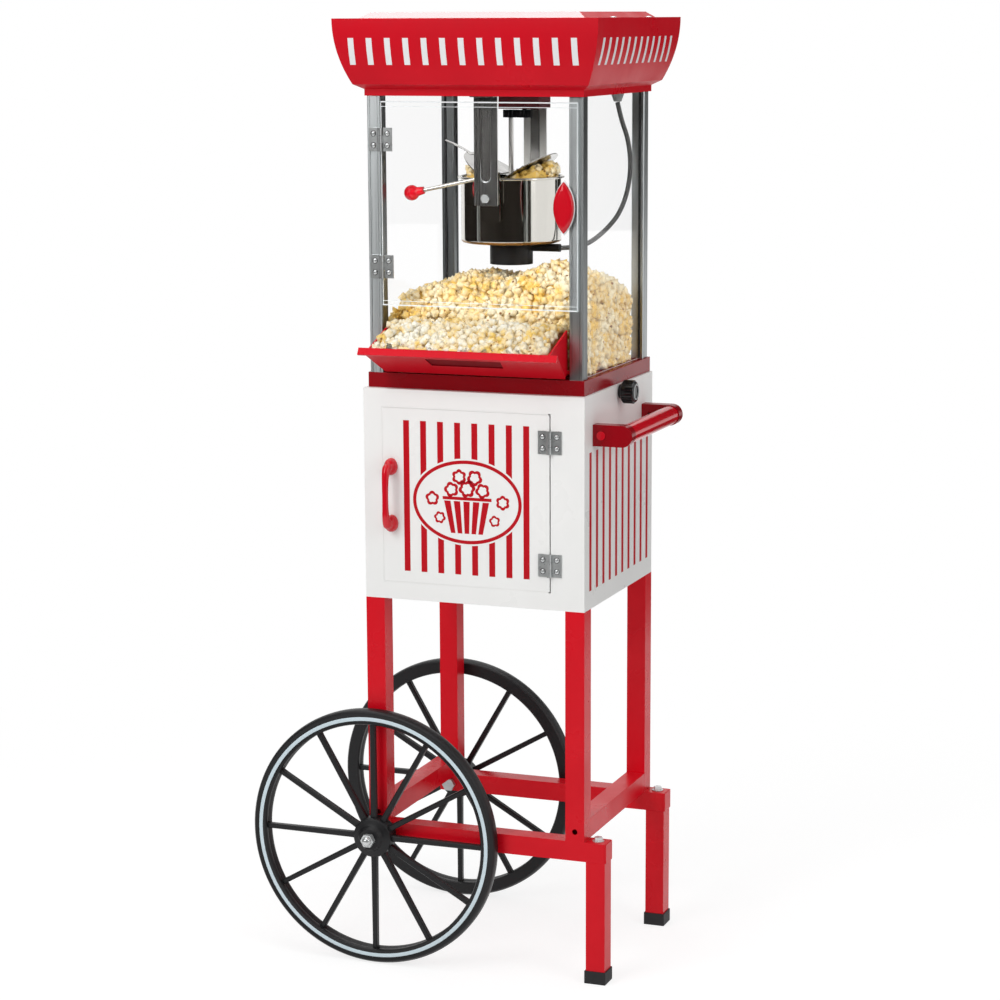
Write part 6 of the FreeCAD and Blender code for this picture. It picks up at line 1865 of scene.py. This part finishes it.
        def limit(spot):
            spot = level @ spot
            spot.x = between(spot.x, -116.4 * MM, 116.4 * MM)
            spot.z = between(spot.z, 7.0 * MM, 73.0 * MM)
            spot.y = between(spot.y, face + FLOOR_GAP, min(60.0 * MM, before_heap(spot.z)))
            return tilted @ spot

        under, skin = heap_grid("tray_heap", steps_between(-half, half, 30), steps_between(foot, head, 10), top,
                                lambda x, reach: on_tray(x, reach, face + 2.0 * MM), False)
        turn = tilted.to_3x3() @ Vector((0.0, 1.0, 0.0))
        popcorn_piece("tray_popcorn", under, skin, templates, settings, "serving_tray", settings.seed + 1, limit,
                      {"joint": "serving_tray_tilt", "axis": turn, "anchor": tilted @ Vector((0.0, face, 0.0)),
                       "keep": 0.27})

    def fill_kettle(self, templates, settings):
        """Full kettle, level with its rim so that the lids close."""
        axis = middle_of("agitator")
        axis.z = 0.0
        rim = kettle_rim()
        inner, outer = 10.0 * MM, 56.0 * MM

        def spot_at(turn, reach, height):
            return axis + Vector((reach * math.cos(turn), reach * math.sin(turn), height))

        def limit(spot):
            away = Vector((spot.x - axis.x, spot.y - axis.y))
            away = away.normalized() * between(away.length, 9.0 * MM, 61.0 * MM)
            return Vector((axis.x + away.x, axis.y + away.y, between(spot.z, rim - 30 * MM, rim - 0.5 * MM)))

        turns = steps_between(0.0, 2 * math.pi, 49)
        under, skin = heap_grid("kettle_heap", turns, steps_between(inner, outer, 6),
                                lambda turn, reach: spot_at(turn, reach, rim - 9 * MM),
                                lambda turn, reach: spot_at(turn, reach, rim - 20 * MM), False)
        popcorn_piece("kettle_popcorn", under, skin, templates, settings, "kettle", settings.seed + 2, limit)
        for number, (name, way) in enumerate((("left", -1), ("right", 1))):
            self.fill_under_lid(templates, settings, number, name, way, axis, rim)

    def fill_under_lid(self, templates, settings, number, name, way, axis, rim):
        """Corn heaped under a raised lid."""
        hinge = 12.5 * MM

        def spot_at(turn, reach, height):
            return Vector((axis.x + way * reach * math.cos(turn), axis.y + reach * math.sin(turn), height))

        def top(turn, reach):
            out = reach * math.cos(turn) - hinge
            return spot_at(turn, reach, rim + between(0.55 * out - 9 * MM, -8 * MM, 9 * MM))

        def limit(spot):
            away = Vector((spot.x - axis.x, spot.y - axis.y))
            out = max(0.0, away.x * way - hinge)
            height = between(spot.z, rim - 20 * MM, rim + min(21 * MM, 0.6 * out - 0.6 * MM))
            away = away.normalized() * min(away.length, 61.0 * MM if height < rim + 1 * MM else 64.5 * MM)
            away.x = way * max(away.x * way, hinge + 2.5 * MM)
            return Vector((axis.x + away.x, axis.y + away.y, height))

        under, skin = heap_grid(name + "_lid_heap", steps_between(-1.12, 1.12, 15),
                                steps_between(34.0 * MM, 56.0 * MM, 5), top,
                                lambda turn, reach: spot_at(turn, reach, rim - 18 * MM), False)
        popcorn_piece(name + "_lid_popcorn", under, skin, templates, settings, "kettle", settings.seed + 5 + number,
                      limit, {"joint": name + "_lid_flap", "axis": (0.0, 0.0, 1.0),
                              "anchor": (axis.x, axis.y, rim - 4 * MM), "keep": 0.16})


# Add-on

OPERATORS = [StageOperator, CordOperator, TubeFrameOperator, WheelsOperator, CabinetOperator, PaintedTrimOperator,
             HingesOperator, DoorPullOperator, PushHandleOperator, BaseOperator, PostsOperator, WindowsOperator,
             CanopyOperator, KettleOperator, PopcornOperator]
SETTINGS = {"cart_colours": CartColours, "cart_trim": CartTrim, "cart_popcorn": CartPopcorn,
            "cart_studio": CartStudio}


class CartPanel(bpy.types.Panel):
    """Sidebar panel that lists the cart's settings and steps"""
    bl_idname = "VIEW3D_PT_popcorn_cart"
    bl_label = "Popcorn Cart"
    bl_space_type = "VIEW_3D"
    bl_region_type = "UI"
    bl_category = "Popcorn Cart"

    def draw(self, context):
        for operator in OPERATORS:
            self.layout.operator(operator.bl_idname)
        for name, group in SETTINGS.items():
            box = self.layout.box()
            box.label(text=group.__doc__)
            for key in group.__annotations__:
                box.prop(getattr(context.scene, name), key)


def register():
    for group in SETTINGS.values():
        bpy.utils.register_class(group)
    for item in OPERATORS + [CartPanel]:
        bpy.utils.register_class(item)
    for name, group in SETTINGS.items():
        setattr(bpy.types.Scene, name, PointerProperty(type=group))


def unregister():
    for name in SETTINGS:
        delattr(bpy.types.Scene, name)
    for item in reversed(list(SETTINGS.values()) + OPERATORS + [CartPanel]):
        bpy.utils.unregister_class(item)


def main():
    register()
    for operator in OPERATORS:
        group, name = operator.bl_idname.split(".")
        getattr(getattr(bpy.ops, group), name)()


if __name__ == "__main__":
    main()
